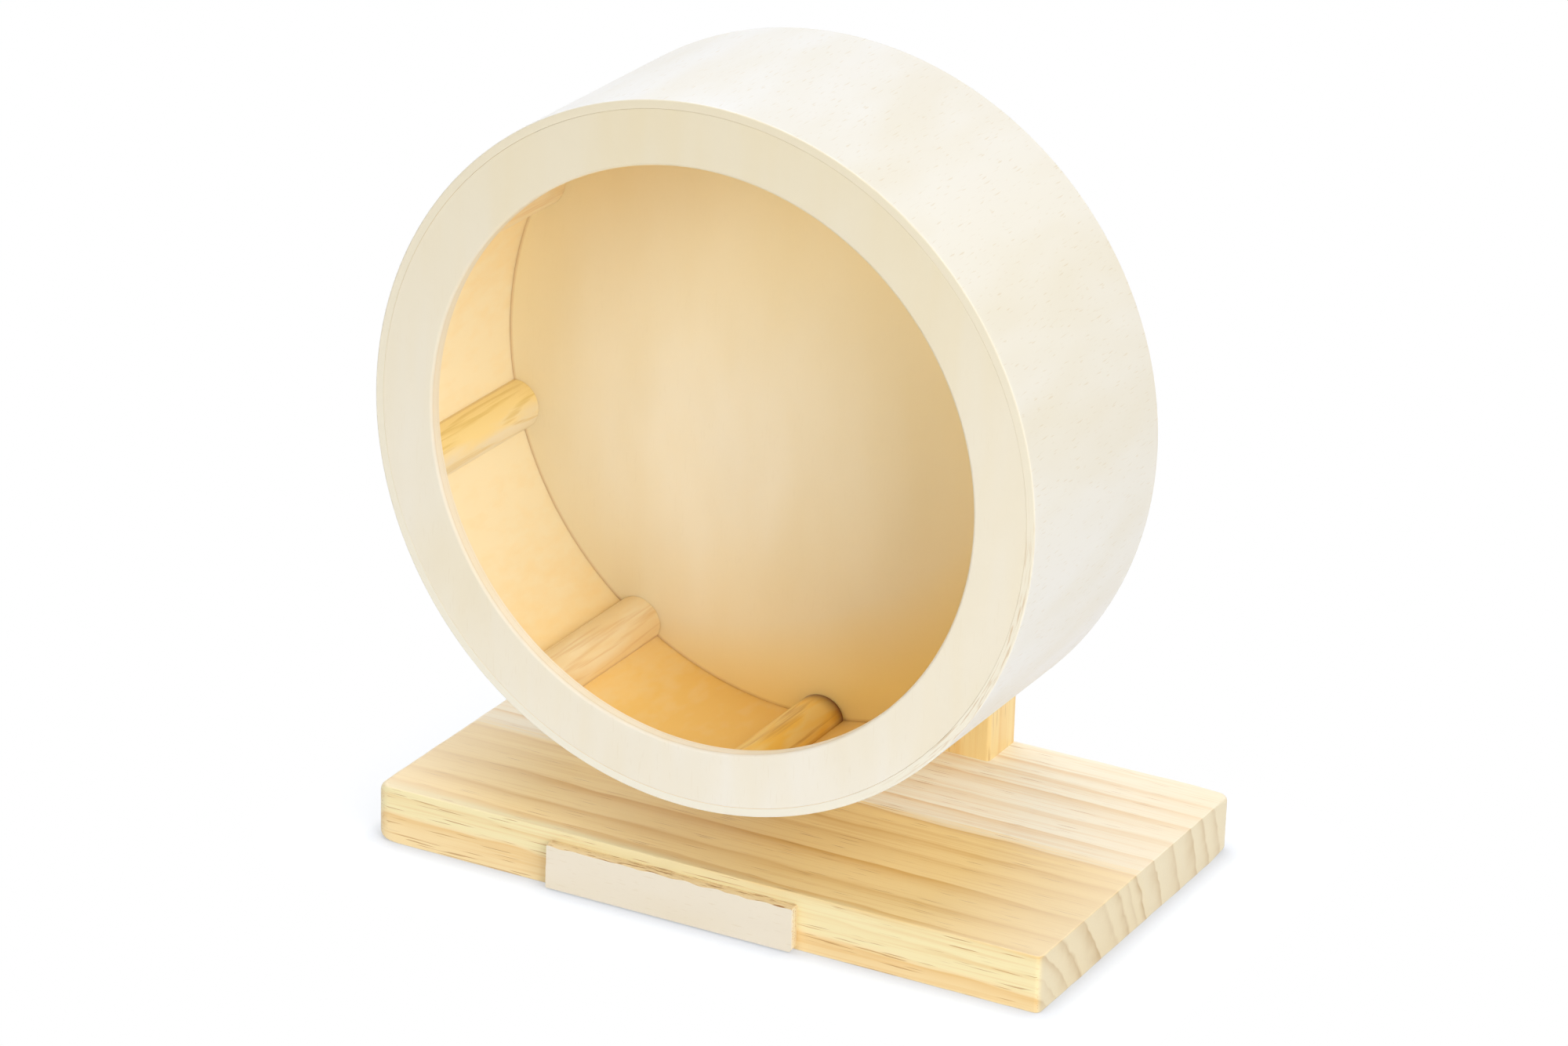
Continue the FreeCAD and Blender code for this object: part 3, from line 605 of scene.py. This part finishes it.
def moulded_nylon(name):
    """Moulded nylon: an off-white, slightly waxy plastic with a fine moulded texture."""
    material, tree, shader = new_material(name)
    mottle = fibres(tree, grain_place(tree, "XYZ"), NYLON_MOTTLE, NYLON_MOTTLE, 3.0)
    plastic = node(tree, "Mix", {0: mottle, MIX_A: linear("#DAD4C2"), MIX_B: linear("#ECE8DA")}, MIX_OUT,
                   data_type="RGBA")
    set_shader(tree, shader, plastic, mottle, NYLON_ROUGHNESS, NYLON_LIGHT)
    return material


bearing_steel = polished_steel("ground_bearing_steel")
nylon = moulded_nylon("moulded_nylon")
for end in ("front", "rear"):
    dress(bearing_steel, *(f"{end}_bearing_{part}" for part in STEEL_PARTS))
    dress(nylon, f"{end}_bearing_cage")

# Hub: a block of close-grown light wood, turned on a lathe, bored for the two bearings and glued to the back
# of the drum. Its years are half as far apart as the boards', and its rear edge is rounded over.
HUB_ROUND = 3.0
HUB_STEP = 1.5
HUB_STEPS = 96
HUB_TIGHT = 2.0
THROAT = 8.0
THROAT_ROUND = 0.5
BEARING_SEAT = 11.02
HUB_BREAK = 0.2
GLUED_BREAK = 0.3
hub_low, hub_high = box_mm("hub_block")
hub_radius = (hub_high.x - hub_low.x) / 2
seat_back = box_mm("rear_bearing_outer_race")[1].y
hub_wood = ringed_wood("turned_hardwood_hub", "YXZ", (0.0, 14.0, 75.0),
                       ("#F0D8A8", "#F0D8A8", "#F0D8A8", "#F0D8A8", "#D3A263"), tight=HUB_TIGHT)
hub_outline = rounded([(BEARING_SEAT, hub_low.y, HUB_BREAK), (hub_radius, hub_low.y, GLUED_BREAK),
                       (hub_radius, hub_high.y, HUB_ROUND), (THROAT, hub_high.y, THROAT_ROUND),
                       (THROAT, seat_back, HUB_BREAK), (BEARING_SEAT, seat_back, HUB_BREAK)], HUB_STEP)
turned_hub = turned("turned_hub", [tuple(point) for point in hub_outline], hub_wood, HUB_STEPS, ringed=True)
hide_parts("hub_block")
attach(turned_hub, "wheel")

# Back panel: a plywood disc that closes the back of the drum, glued inside the band. Its saw-cut rim is
# slightly broken and brown, which leaves a thin line all round the inside where it meets the band; the soft
# brown beside it is partly painted shade in that corner. The veneer is painted cream where light falls
# through the mouth and honey where the drum shades it.
DRUM_STEPS = 360
PANEL_BREAK = 0.05
PANEL_EDGE = 1.0
PANEL_BACK_EDGE = 0.3
SAWN_RIM_AND_SHADE = 1.1
PANEL_FLECK = 0.04
panel_low, panel_high = box_mm("back_disc")
panel_radius = (panel_high.x - panel_low.x) / 2
# Each tone's middle across and up from the axle, the distances between which it sets in, its share and its
# colour.
# The first two are painted shade, honey towards the rim and deepest low on the right; the last is the
# saw-browned rim, partly painted shade.
PANEL_SHADE_TONES = ((-45.0, -32.0, 20.0, 125.0, 1.0, "#FCE4A2"),
               (-52.0, 58.0, 137.0, 162.0, 0.9, "#FFE08A"),
               (0.0, 0.0, panel_radius - SAWN_RIM_AND_SHADE, panel_radius, 0.5, "#C08842"))


def painted_shade_and_rim(tree, lie, colour):
    """The veneer is painted cream left of the middle, where the light falls, and honey towards its rim,
    deepest low
    on the right: painted shade. The rim is brown from the saw, and partly painted shade where it meets the
    band."""
    place = grain_place(tree, "XYZ", tuple(axle))
    for across, up, start, end, share, shade in PANEL_SHADE_TONES:
        from_middle = node(tree, "VectorMath", {0: place, 1: (across, 0, up)}, operation="SUBTRACT")
        flat = node(tree, "VectorMath", {0: from_middle, 1: (1, 0, 1)}, operation="MULTIPLY")
        away = node(tree, "VectorMath", {0: flat}, "Value", operation="LENGTH")
        toned = node(tree, "MapRange", {"Value": away, "From Min": start, "From Max": end, "To Max": share})
        colour = node(tree, "Mix", {0: toned, MIX_A: colour, MIX_B: linear(shade)}, MIX_OUT, data_type="RGBA")
    return colour


panel_ply = plywood("plywood_back_panel", lambda tree: grain_place(tree, "ZXY"), (panel_low.y, panel_high.y),
                    ("#F5EBD2", "#EBDDBB", "#C99A58", "#A87840"), panel_high.y - panel_low.y,
                    fleck=PANEL_FLECK, marks=painted_shade_and_rim)
panel_profile = [(panel_radius - PANEL_BREAK, panel_low.y), (panel_radius, panel_low.y + PANEL_EDGE),
                 (panel_radius, panel_high.y - PANEL_BACK_EDGE),
                 (panel_radius - PANEL_BACK_EDGE, panel_high.y)]
back_panel = turned("back_panel", panel_profile, panel_ply, DRUM_STEPS)
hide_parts("back_disc")
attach(back_panel, "wheel")

# Band: thin bending plywood wrapped round the ring and the panel with its grain along the axle, so that it
# takes the curve. Its ends butt together behind a rung, and its front edge is sanded flush with the ring.
BAND_WALL = 2.5
BAND_EDGE = 0.5
TIGHT_EDGE = 0.04
BACK_EDGE = 0.3
DRUM_STEP = 5.0
JOINT_ANGLE = math.radians(194)
BAND_FLECK = 0.3
INNER_FACE = 0.05
FRONT_FACING = {"From Min": -0.4, "From Max": -0.9}
# Places round the band in millimetres from the point opposite its joint: torn edge, painted light, warm side.
TORN_PLACE = -68.0
TORN_REACH = {"From Min": 20.0, "From Max": 60.0, "To Min": 0.6, "To Max": 0.0}
TORN_SIZE = (8.0, 0.5)
TORN_LINE = {"From Min": 0.52, "From Max": 0.66}
PAINTED_LIGHT_REACH = {"From Min": 205.0, "From Max": 295.0}
PAINTED_LIGHT_SIZE = (9.0, 4.0)
PAINTED_LIGHT_MOTTLE = {**NARROW_NOISE, "To Min": -0.12, "To Max": 0.12}
WARM_PLACE = 25.0
WARM_REACH = {"From Min": 30.0, "From Max": 115.0, "To Min": 1.0, "To Max": 0.0}
band_low, band_high = box_mm("drum_band")
band_radius = (band_high.x - band_low.x) / 2
band_inside = band_radius - BAND_WALL


def bent_place(tree):
    """Millimetres along the axle, round the band from opposite its joint, and out from the axle."""
    centred = node(tree, "Mapping", {"Vector": node(tree, "TexCoord", {}, "Object"),
                                     "Scale": (1 / MM, 1 / MM, 1 / MM), "Location": -axle})
    unrolled = node(tree, "Mapping", {"Vector": centred, "Rotation": (0, JOINT_ANGLE + math.pi, 0)})
    axes = node(tree, "SeparateXYZ", {0: unrolled}).node.outputs
    angle = node(tree, "Math", {0: axes["Z"], 1: axes["X"]}, operation="ARCTAN2")
    arc = node(tree, "Math", {0: angle, 1: band_radius}, operation="MULTIPLY")
    flat = node(tree, "VectorMath", {0: unrolled, 1: (1, 0, 1)}, operation="MULTIPLY")
    out = node(tree, "VectorMath", {0: flat}, "Value", operation="LENGTH")
    return node(tree, "CombineXYZ", {0: axes["Y"], 1: arc, 2: out})


def painted_shade_above(tree, colour):
    """The drum's front is sanded as one face, and its veneer is painted darker and browner towards the top as
    shade.
    """
    height = node(tree, "SeparateXYZ", {0: grain_place(tree, "XYZ", tuple(axle))}, "Z")
    # Painted shade: a darker brown is mixed in towards the top.
    share = node(tree, "MapRange", {"Value": height, "From Min": -band_radius, "From Max": band_radius})
    return node(tree, "Mix", {0: share, MIX_A: colour, MIX_B: linear("#DED3B8")}, MIX_OUT, data_type="RGBA")


def torn_edge(tree, lie):
    """The band's front edge is sanded with the ring, and low on the right its core is torn in brown lines."""
    axes = node(tree, "SeparateXYZ", {0: lie}).node.outputs
    along = node(tree, "CombineXYZ", {0: axes["Y"], 1: axes["Z"]})
    tears = node(tree, "MapRange", {"Value": fibres(tree, along, *TORN_SIZE), **TORN_LINE})
    past = node(tree, "Math", {0: axes["Y"], 1: TORN_PLACE}, operation="SUBTRACT")
    off = node(tree, "Math", {0: past}, operation="ABSOLUTE")
    reach = node(tree, "MapRange", {"Value": off, **TORN_REACH})
    share = node(tree, "Math", {0: tears, 1: reach}, operation="MULTIPLY")
    sanded = painted_shade_above(tree, linear("#EDE7D6"))
    return node(tree, "Mix", {0: share, MIX_A: sanded, MIX_B: linear("#C2A070")}, MIX_OUT, data_type="RGBA")


def painted_light_and_edges(tree, lie, colour):
    """The inner veneer is honey, partly painted shade low in the drum, and painted paler to each side of the
    joint, where light falls on the inner wall. The outer one is warmer on the side away from the joint."""
    axes = node(tree, "SeparateXYZ", {0: lie}).node.outputs
    off = node(tree, "Math", {0: axes["Y"]}, operation="ABSOLUTE")
    # Painted light: the inner wall is paler to each side of the joint, where light falls through the mouth.
    worn = node(tree, "MapRange", {"Value": off, **PAINTED_LIGHT_REACH}, interpolation_type="SMOOTHSTEP")
    mottle = node(tree, "MapRange", {"Value": fibres(tree, lie, *PAINTED_LIGHT_SIZE), **PAINTED_LIGHT_MOTTLE})
    mottled_light = node(tree, "Math", {0: worn, 1: mottle}, operation="ADD", use_clamp=True)
    inner_light_and_shade = node(tree, "Mix", {0: mottled_light, MIX_A: linear("#FCD37A"), MIX_B: linear("#FEF0CA")}, MIX_OUT,
                 data_type="RGBA")
    inside = node(tree, "Math", {0: axes["Z"], 1: band_inside + INNER_FACE}, operation="LESS_THAN")
    round_band = node(tree, "Math", {0: axes["Y"], 1: WARM_PLACE}, operation="SUBTRACT")
    from_warm = node(tree, "Math", {0: round_band}, operation="ABSOLUTE")
    warm = node(tree, "MapRange", {"Value": from_warm, **WARM_REACH})
    colour = node(tree, "Mix", {0: warm, MIX_A: colour, MIX_B: linear("#F9F4E7")}, MIX_OUT, data_type="RGBA",
                  blend_type="MULTIPLY")
    facing = node(tree, "SeparateXYZ", {0: node(tree, "TexCoord", {}, "Normal")}, "Y")
    front = node(tree, "MapRange", {"Value": facing, **FRONT_FACING})
    for share, tint in ((inside, inner_light_and_shade), (front, torn_edge(tree, lie))):
        colour = node(tree, "Mix", {0: share, MIX_A: colour, MIX_B: tint}, MIX_OUT, data_type="RGBA")
    return colour


band_ply = plywood("bending_plywood_band", bent_place, (band_radius, band_inside),
                   ("#EBEAE8", "#E9DEC6", "#E9DEC6", "#DDCBA6"), BAND_WALL, fleck=BAND_FLECK,
                   marks=painted_light_and_edges)
band_outline = rounded([(band_inside, band_low.y, TIGHT_EDGE), (band_radius, band_low.y, BAND_EDGE),
                        (band_radius, band_high.y, BAND_EDGE), (band_inside, band_high.y, BACK_EDGE)],
                       DRUM_STEP)
bent_band = turned("bent_band", [tuple(point) for point in band_outline], band_ply, DRUM_STEPS, ringed=True)
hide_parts("drum_band")
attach(bent_band, "wheel")

# Mouth ring: a flat plywood ring glued flush into the front of the band, which leaves the round opening that
# the animal climbs through. Its inner edge is rounded over and sanded smooth, and the core showing there is
# near-white: partly bare sanded wood, partly a painted highlight along that edge.
RING_WIDTH = 15.47
RING_ROUND = 0.9
RING_REAR = 0.15
RING_FLECK = 0.08
STREAK_SIZE = (60.0, 12.0)
YELLOW_STREAK = {"From Min": 0.36, "From Max": 0.68, "To Max": 0.4}
ring_low, ring_high = box_mm("front_ring")
ring_radius = (ring_high.x - ring_low.x) / 2
mouth_radius = ring_radius - RING_WIDTH


def yellow_streaks(tree, lie, colour):
    """Faint yellow streaks run up the grain of the ring, which is painted browner towards the top as shade.
    """
    toned = painted_shade_above(tree, colour)
    streaks = node(tree, "MapRange", {"Value": fibres(tree, lie, *STREAK_SIZE), **YELLOW_STREAK})
    return node(tree, "Mix", {0: streaks, MIX_A: toned, MIX_B: linear("#FDF6E2")}, MIX_OUT, data_type="RGBA",
                blend_type="MULTIPLY")


# The core and back colours are near-white: partly bare wood, partly a painted highlight on the inner edge.
ring_ply = plywood("plywood_mouth_ring", lambda tree: grain_place(tree, "ZXY"), (ring_low.y, ring_high.y),
                   ("#EDE7DA", "#FFFAEE", "#FFFAEE", "#EFE0C2"), ring_high.y - ring_low.y, fleck=RING_FLECK,
                   marks=yellow_streaks)
ring_outline = rounded([(mouth_radius, ring_low.y, RING_ROUND), (ring_radius, ring_low.y, TIGHT_EDGE),
                        (ring_radius, ring_high.y, RING_REAR), (mouth_radius, ring_high.y, BACK_EDGE)],
                       DRUM_STEP)
mouth_ring = turned("mouth_ring", [tuple(point) for point in ring_outline], ring_ply, DRUM_STEPS, ringed=True)
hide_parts("front_ring")
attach(mouth_ring, "wheel")

# Rungs: nine half-round bars of light hardwood, glued across the inside of the band as a foothold. Their ends
# are sawn square, and a thin shadow line runs along each edge where the bar meets the curve of the band.
RUNG_COUNT = 9
FIRST_RUNG = 273.0
RUNG_SLIPS = {8: 1.2, 9: 3.3}
RUNG_SHADES = "gold tan tan gold tan gold tan pale tan".split()
RUNG_WIDTH = 14.5
RUNG_HEIGHT = 7.0
RUNG_LIFT = 0.3
RUNG_EDGE = 0.4
RUNG_STEPS = 40
FOOT_STEPS = 12
FOOT_CLEARANCE = 0.03
END_CLEARANCE = 0.02
END_SHRINK = 0.95
FIGURE_SPACING = 2.8
FIGURE_HEART = (0, 30, 40)
FIGURE_SWAY = (100.0, 11.0)
FIGURE_DRIFT = {**WIDE_NOISE, "To Min": -3.0, "To Max": 3.0}
FIGURE_SHARE = {"From Min": 0.32, "From Max": 0.6, "To Max": 0.55}
PATCH_SIZE = (22.0, 4.0)
DEEP_PATCH = {"From Min": 0.4, "From Max": 0.6}
SAP_UNEVEN = 2.5
SAP_BLEND = 5.0
# Real fibres are about 0.05 mm wide: they are drawn wider, so that they show.
RUNG_FIBRE = (18.0, 0.7)
RUNG_BUMP = (0.2, 0.1)
EDGE_SHADE_LINE = 0.9
EDGE_SHADE_FADE = 0.5
EDGE_SHADE_SHARE = 0.25
BURN_START = 8.0
BURN_END = 0.5
BURN_CURVE = 2.0
rung_low, rung_high = box_mm("rung_1")


def figured_hardwood(name, colours, scorch=0.0, sapwood=None):
    """Light hardwood with a wavy figure: darker streaks that sweep along the bar, with fine fibres between.
    Its lower edges are painted brown: a painted shadow line where the bar meets the band. A blunt saw may
    have scorched the rear end. Below the height sapwood, from the axle in millimetres, a bar shows only its
    light wood."""
    colour, deep, streak = [linear(shade) for shade in colours]
    material, tree, shader = new_material(name)
    lie = grain_place(tree, "YXZ", tuple(axle))
    axes = node(tree, "SeparateXYZ", {0: lie}).node.outputs
    drift = node(tree, "MapRange", {"Value": fibres(tree, lie, *FIGURE_SWAY, 1.0), **FIGURE_DRIFT})
    from_heart = node(tree, "VectorMath", {0: lie, 1: FIGURE_HEART}, operation="SUBTRACT")
    across = node(tree, "VectorMath", {0: from_heart, 1: (0, 1, 1)}, operation="MULTIPLY")
    grown = node(tree, "VectorMath", {0: across}, "Value", operation="LENGTH")
    swayed = node(tree, "Math", {0: grown, 1: drift}, operation="ADD")
    years = node(tree, "Math", {0: swayed, 1: 2 * math.pi / FIGURE_SPACING}, operation="MULTIPLY")
    wave = node(tree, "Math", {0: years}, operation="SINE")
    fibre = fibres(tree, lie, *RUNG_FIBRE)
    broken = node(tree, "Math", {0: wave, 1: fibre}, operation="MULTIPLY")
    sweep = node(tree, "MapRange", {"Value": broken, **FIGURE_SHARE})
    patches = node(tree, "MapRange", {"Value": fibres(tree, lie, *PATCH_SIZE), **DEEP_PATCH})
    if sapwood:
        uneven = node(tree, "Math", {0: patches, 1: SAP_UNEVEN, 2: axes["Z"]}, operation="MULTIPLY_ADD")
        patches = node(tree, "MapRange", {"Value": uneven, "From Min": sapwood,
                                          "From Max": sapwood + SAP_BLEND})
    flat = node(tree, "VectorMath", {0: lie, 1: (0, 1, 1)}, operation="MULTIPLY")
    out = node(tree, "VectorMath", {0: flat}, "Value", operation="LENGTH")
    painted_edge_shade = node(tree, "MapRange", {"Value": out, "From Min": band_inside - EDGE_SHADE_LINE - EDGE_SHADE_FADE,
                                    "From Max": band_inside - EDGE_SHADE_LINE, "To Max": EDGE_SHADE_SHARE})
    burn = node(tree, "MapRange", {"Value": axes["X"], "From Min": rung_high.y - BURN_START,
                                   "From Max": rung_high.y - BURN_END, "To Max": scorch})
    charred = node(tree, "Math", {0: burn, 1: BURN_CURVE}, operation="POWER")
    # The brown near the band is a painted shadow line along the bar's edges.
    for share, tint in ((patches, deep), (sweep, streak), (painted_edge_shade, linear("#AD7632")),
                        (charred, linear("#7A4416"))):
        colour = node(tree, "Mix", {0: share, MIX_A: colour, MIX_B: tint}, MIX_OUT, data_type="RGBA")
    set_shader(tree, shader, colour, fibre, WOOD_ROUGHNESS, SANDED_WOOD, fibre, RUNG_BUMP)
    return material


# The gold bars' deep tone is partly the wood's own and partly painted shade for the first bar, low in the
# drum.
bar_woods = {"tan": figured_hardwood("half_round_hardwood_tan", ("#F8E4B8", "#F5DAA4", "#E6BE80")),
             "pale": figured_hardwood("half_round_hardwood_pale", ("#F5E8C8", "#FDE49E", "#E2C268"),
                                      sapwood=-24.5),
             "gold": figured_hardwood("half_round_hardwood_gold", ("#FFDE88", "#FFD05C", "#CC9038"),
                                      scorch=1.0)}
rung_section = []
for k in range(RUNG_STEPS + 1):
    turn = math.pi * k / RUNG_STEPS
    rise = RUNG_LIFT + (RUNG_HEIGHT - RUNG_LIFT) * math.sin(turn)
    rung_section.append((RUNG_WIDTH / 2 * math.cos(turn), rise))
for k in range(1, FOOT_STEPS):
    side = (RUNG_WIDTH / 2 - RUNG_EDGE) * (2 * k / FOOT_STEPS - 1)
    rung_section.append((side, band_inside - math.sqrt(band_inside ** 2 - side ** 2) + FOOT_CLEARANCE))
rung_cuts = ((rung_low.y + END_CLEARANCE, END_SHRINK), (rung_low.y + RUNG_EDGE, 1.0),
             (rung_high.y - RUNG_EDGE, 1.0), (rung_high.y - END_CLEARANCE, END_SHRINK))
for number in range(1, RUNG_COUNT + 1):
    angle = math.radians(FIRST_RUNG + (number - 1) * 360 / RUNG_COUNT + RUNG_SLIPS.get(number, 0.0))
    outward = Vector((math.cos(angle), 0, math.sin(angle)))
    sideways = Vector((-math.sin(angle), 0, math.cos(angle)))
    loops = []
    for y, shrink in rung_cuts:
        middle = axle + Vector((0, y, 0))
        loops.append([middle + outward * (band_inside - rise * shrink) + sideways * side * shrink
                      for side, rise in rung_section])
    rung = lofted(f"half_round_{number}", loops, bar_woods[RUNG_SHADES[number - 1]])
    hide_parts(f"rung_{number}")
    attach(rung, "wheel")

# Studio: a plain white paper floor and six soft boxes: two at the right, one in front, two behind, one above.
# The surroundings are seen as white. So is the floor, but it keeps the shadow near the base and darkens where
# the two meet.
FLOOR_HALF = 3.0
CONTACT_REACH = 0.0065
CONTACT_SAMPLES = 8
CONTACT = {"From Min": 0.5, "From Max": 1.0}
SHADOW_REACH = {"From Min": 0.004, "From Max": 0.035}
WORLD_LEVEL = 0.12
LAMP_DISTANCE = 1.7
# Each box's turn to the right of the front and its height in degrees, its size in metres, and the brightness
# that it gives a white surface facing it.
SOFT_BOXES = (("key_box", 54, 14, 1.0, 0.39), ("high_box", 58, 36, 1.0, 0.27),
              ("front_box", -15, 16, 1.0, 0.27), ("back_right_box", 140, 40, 1.3, 0.19),
              ("back_left_box", -120, 40, 1.3, 0.35), ("top_box", 0, 85, 1.3, 0.44))
floor_corners = [(x * FLOOR_HALF, y * FLOOR_HALF, 0) for x, y in ((-1, -1), (1, -1), (1, 1), (-1, 1))]
floor_mesh = bpy.data.meshes.new("studio_floor")
floor_mesh.from_pydata(floor_corners, [], [(0, 1, 2, 3)])
floor = bpy.data.objects.new("studio_floor", floor_mesh)
bpy.context.scene.collection.objects.link(floor)


def looked_at(tree):
    """1 for what is seen, straight, mirrored or through glass, and 0 for light that falls on the object."""
    rays = node(tree, "LightPath", {}).node.outputs
    mirrored = node(tree, "Math", {0: rays["Is Camera Ray"], 1: rays["Is Glossy Ray"]}, operation="ADD")
    return node(tree, "Math", {0: mirrored, 1: rays["Is Transmission Ray"]}, operation="ADD", use_clamp=True)


def white_paper(name):
    """White paper: a matt floor, lifted to white except for a cool grey shadow close to the base."""
    material, tree, _ = new_material(name)
    tree.nodes.clear()
    lit = node(tree, "BsdfDiffuse", {"Color": linear("#F2F2F2")})
    shaded = node(tree, "BsdfDiffuse", {"Color": linear("#A2A4AA")})
    corner = node(tree, "AmbientOcclusion", {"Distance": CONTACT_REACH}, "AO", samples=CONTACT_SAMPLES)
    depth = node(tree, "MapRange", {"Value": corner, **CONTACT})
    cool = node(tree, "Mix", {0: depth, MIX_A: linear("#ADAFB1"), MIX_B: linear("#D4D6D8")}, MIX_OUT,
                data_type="RGBA")
    glow = node(tree, "Emission", {"Color": cool, "Strength": 1.0})
    near = node(tree, "AddShader", {0: shaded, 1: glow})
    folded = node(tree, "VectorMath", {0: node(tree, "TexCoord", {}, "Object")}, operation="ABSOLUTE")
    beyond = node(tree, "VectorMath", {0: folded, 1: base_high * MM}, operation="SUBTRACT")
    outside = node(tree, "VectorMath", {0: beyond, 1: (0, 0, 0)}, operation="MAXIMUM")
    away = node(tree, "VectorMath", {0: outside}, "Value", operation="LENGTH")
    far = node(tree, "MapRange", {"Value": away, **SHADOW_REACH})
    plain = node(tree, "Emission", {"Color": linear("#FFFFFF"), "Strength": 1.0})
    swept = node(tree, "MixShader", {0: far, 1: near, 2: plain})
    mixed = node(tree, "MixShader", {0: looked_at(tree), 1: lit, 2: swept})
    node(tree, "OutputMaterial", {"Surface": mixed})
    return material


floor_mesh.materials.append(white_paper("white_paper_floor"))
world = bpy.data.worlds.new("white_studio")
bpy.context.scene.world = world
world.use_nodes = True
sky = world.node_tree
sky_level = node(sky, "MapRange", {"Value": looked_at(sky), "To Min": WORLD_LEVEL, "To Max": 1.0})
sky.nodes["Background"].inputs["Color"].default_value = linear("#FFFFFF")
sky.links.new(sky_level, sky.nodes["Background"].inputs["Strength"])

for name, azimuth, elevation, size, level in SOFT_BOXES:
    lamp = bpy.data.lights.new(name, "AREA")
    lamp.size = size
    lamp.energy = level * math.pi ** 2 * LAMP_DISTANCE ** 2
    box = bpy.data.objects.new(name, lamp)
    turn, rise = math.radians(azimuth), math.radians(elevation)
    away = Vector((math.sin(turn) * math.cos(rise), -math.cos(turn) * math.cos(rise), math.sin(rise)))
    box.location = axle * MM + away * LAMP_DISTANCE
    box.rotation_euler = (-away).to_track_quat("-Z", "Y").to_euler()
    bpy.context.scene.collection.objects.link(box)

# Camera: where the photograph was taken from, a little above the drum and to its right.
PHOTO_WIDTH = 2000
FOCAL_PIXELS = 7419.058
SENSOR_WIDTH = 36.0
CAMERA_PLACE = (693.519, -1327.201, 710.559)
AZIMUTH, ELEVATION, ROLL = (math.radians(angle) for angle in (27.889, 22.246, 1.66))
view = bpy.data.cameras.new("photo_camera")
view.sensor_width = SENSOR_WIDTH
view.lens = FOCAL_PIXELS / PHOTO_WIDTH * SENSOR_WIDTH
camera = bpy.data.objects.new("photo_camera", view)
back = Vector((math.sin(AZIMUTH) * math.cos(ELEVATION), -math.cos(AZIMUTH) * math.cos(ELEVATION),
               math.sin(ELEVATION)))
right = Vector((math.cos(AZIMUTH), math.sin(AZIMUTH), 0))
up = back.cross(right)
turned_right = right * math.cos(ROLL) + up * math.sin(ROLL)
turned_up = up * math.cos(ROLL) - right * math.sin(ROLL)
camera.matrix_world = Matrix.LocRotScale(Vector(CAMERA_PLACE) * MM,
                                         Matrix((turned_right, turned_up, back)).transposed(), None)
bpy.context.scene.collection.objects.link(camera)
bpy.context.scene.camera = camera
bpy.context.scene.view_settings.view_transform = "Standard"
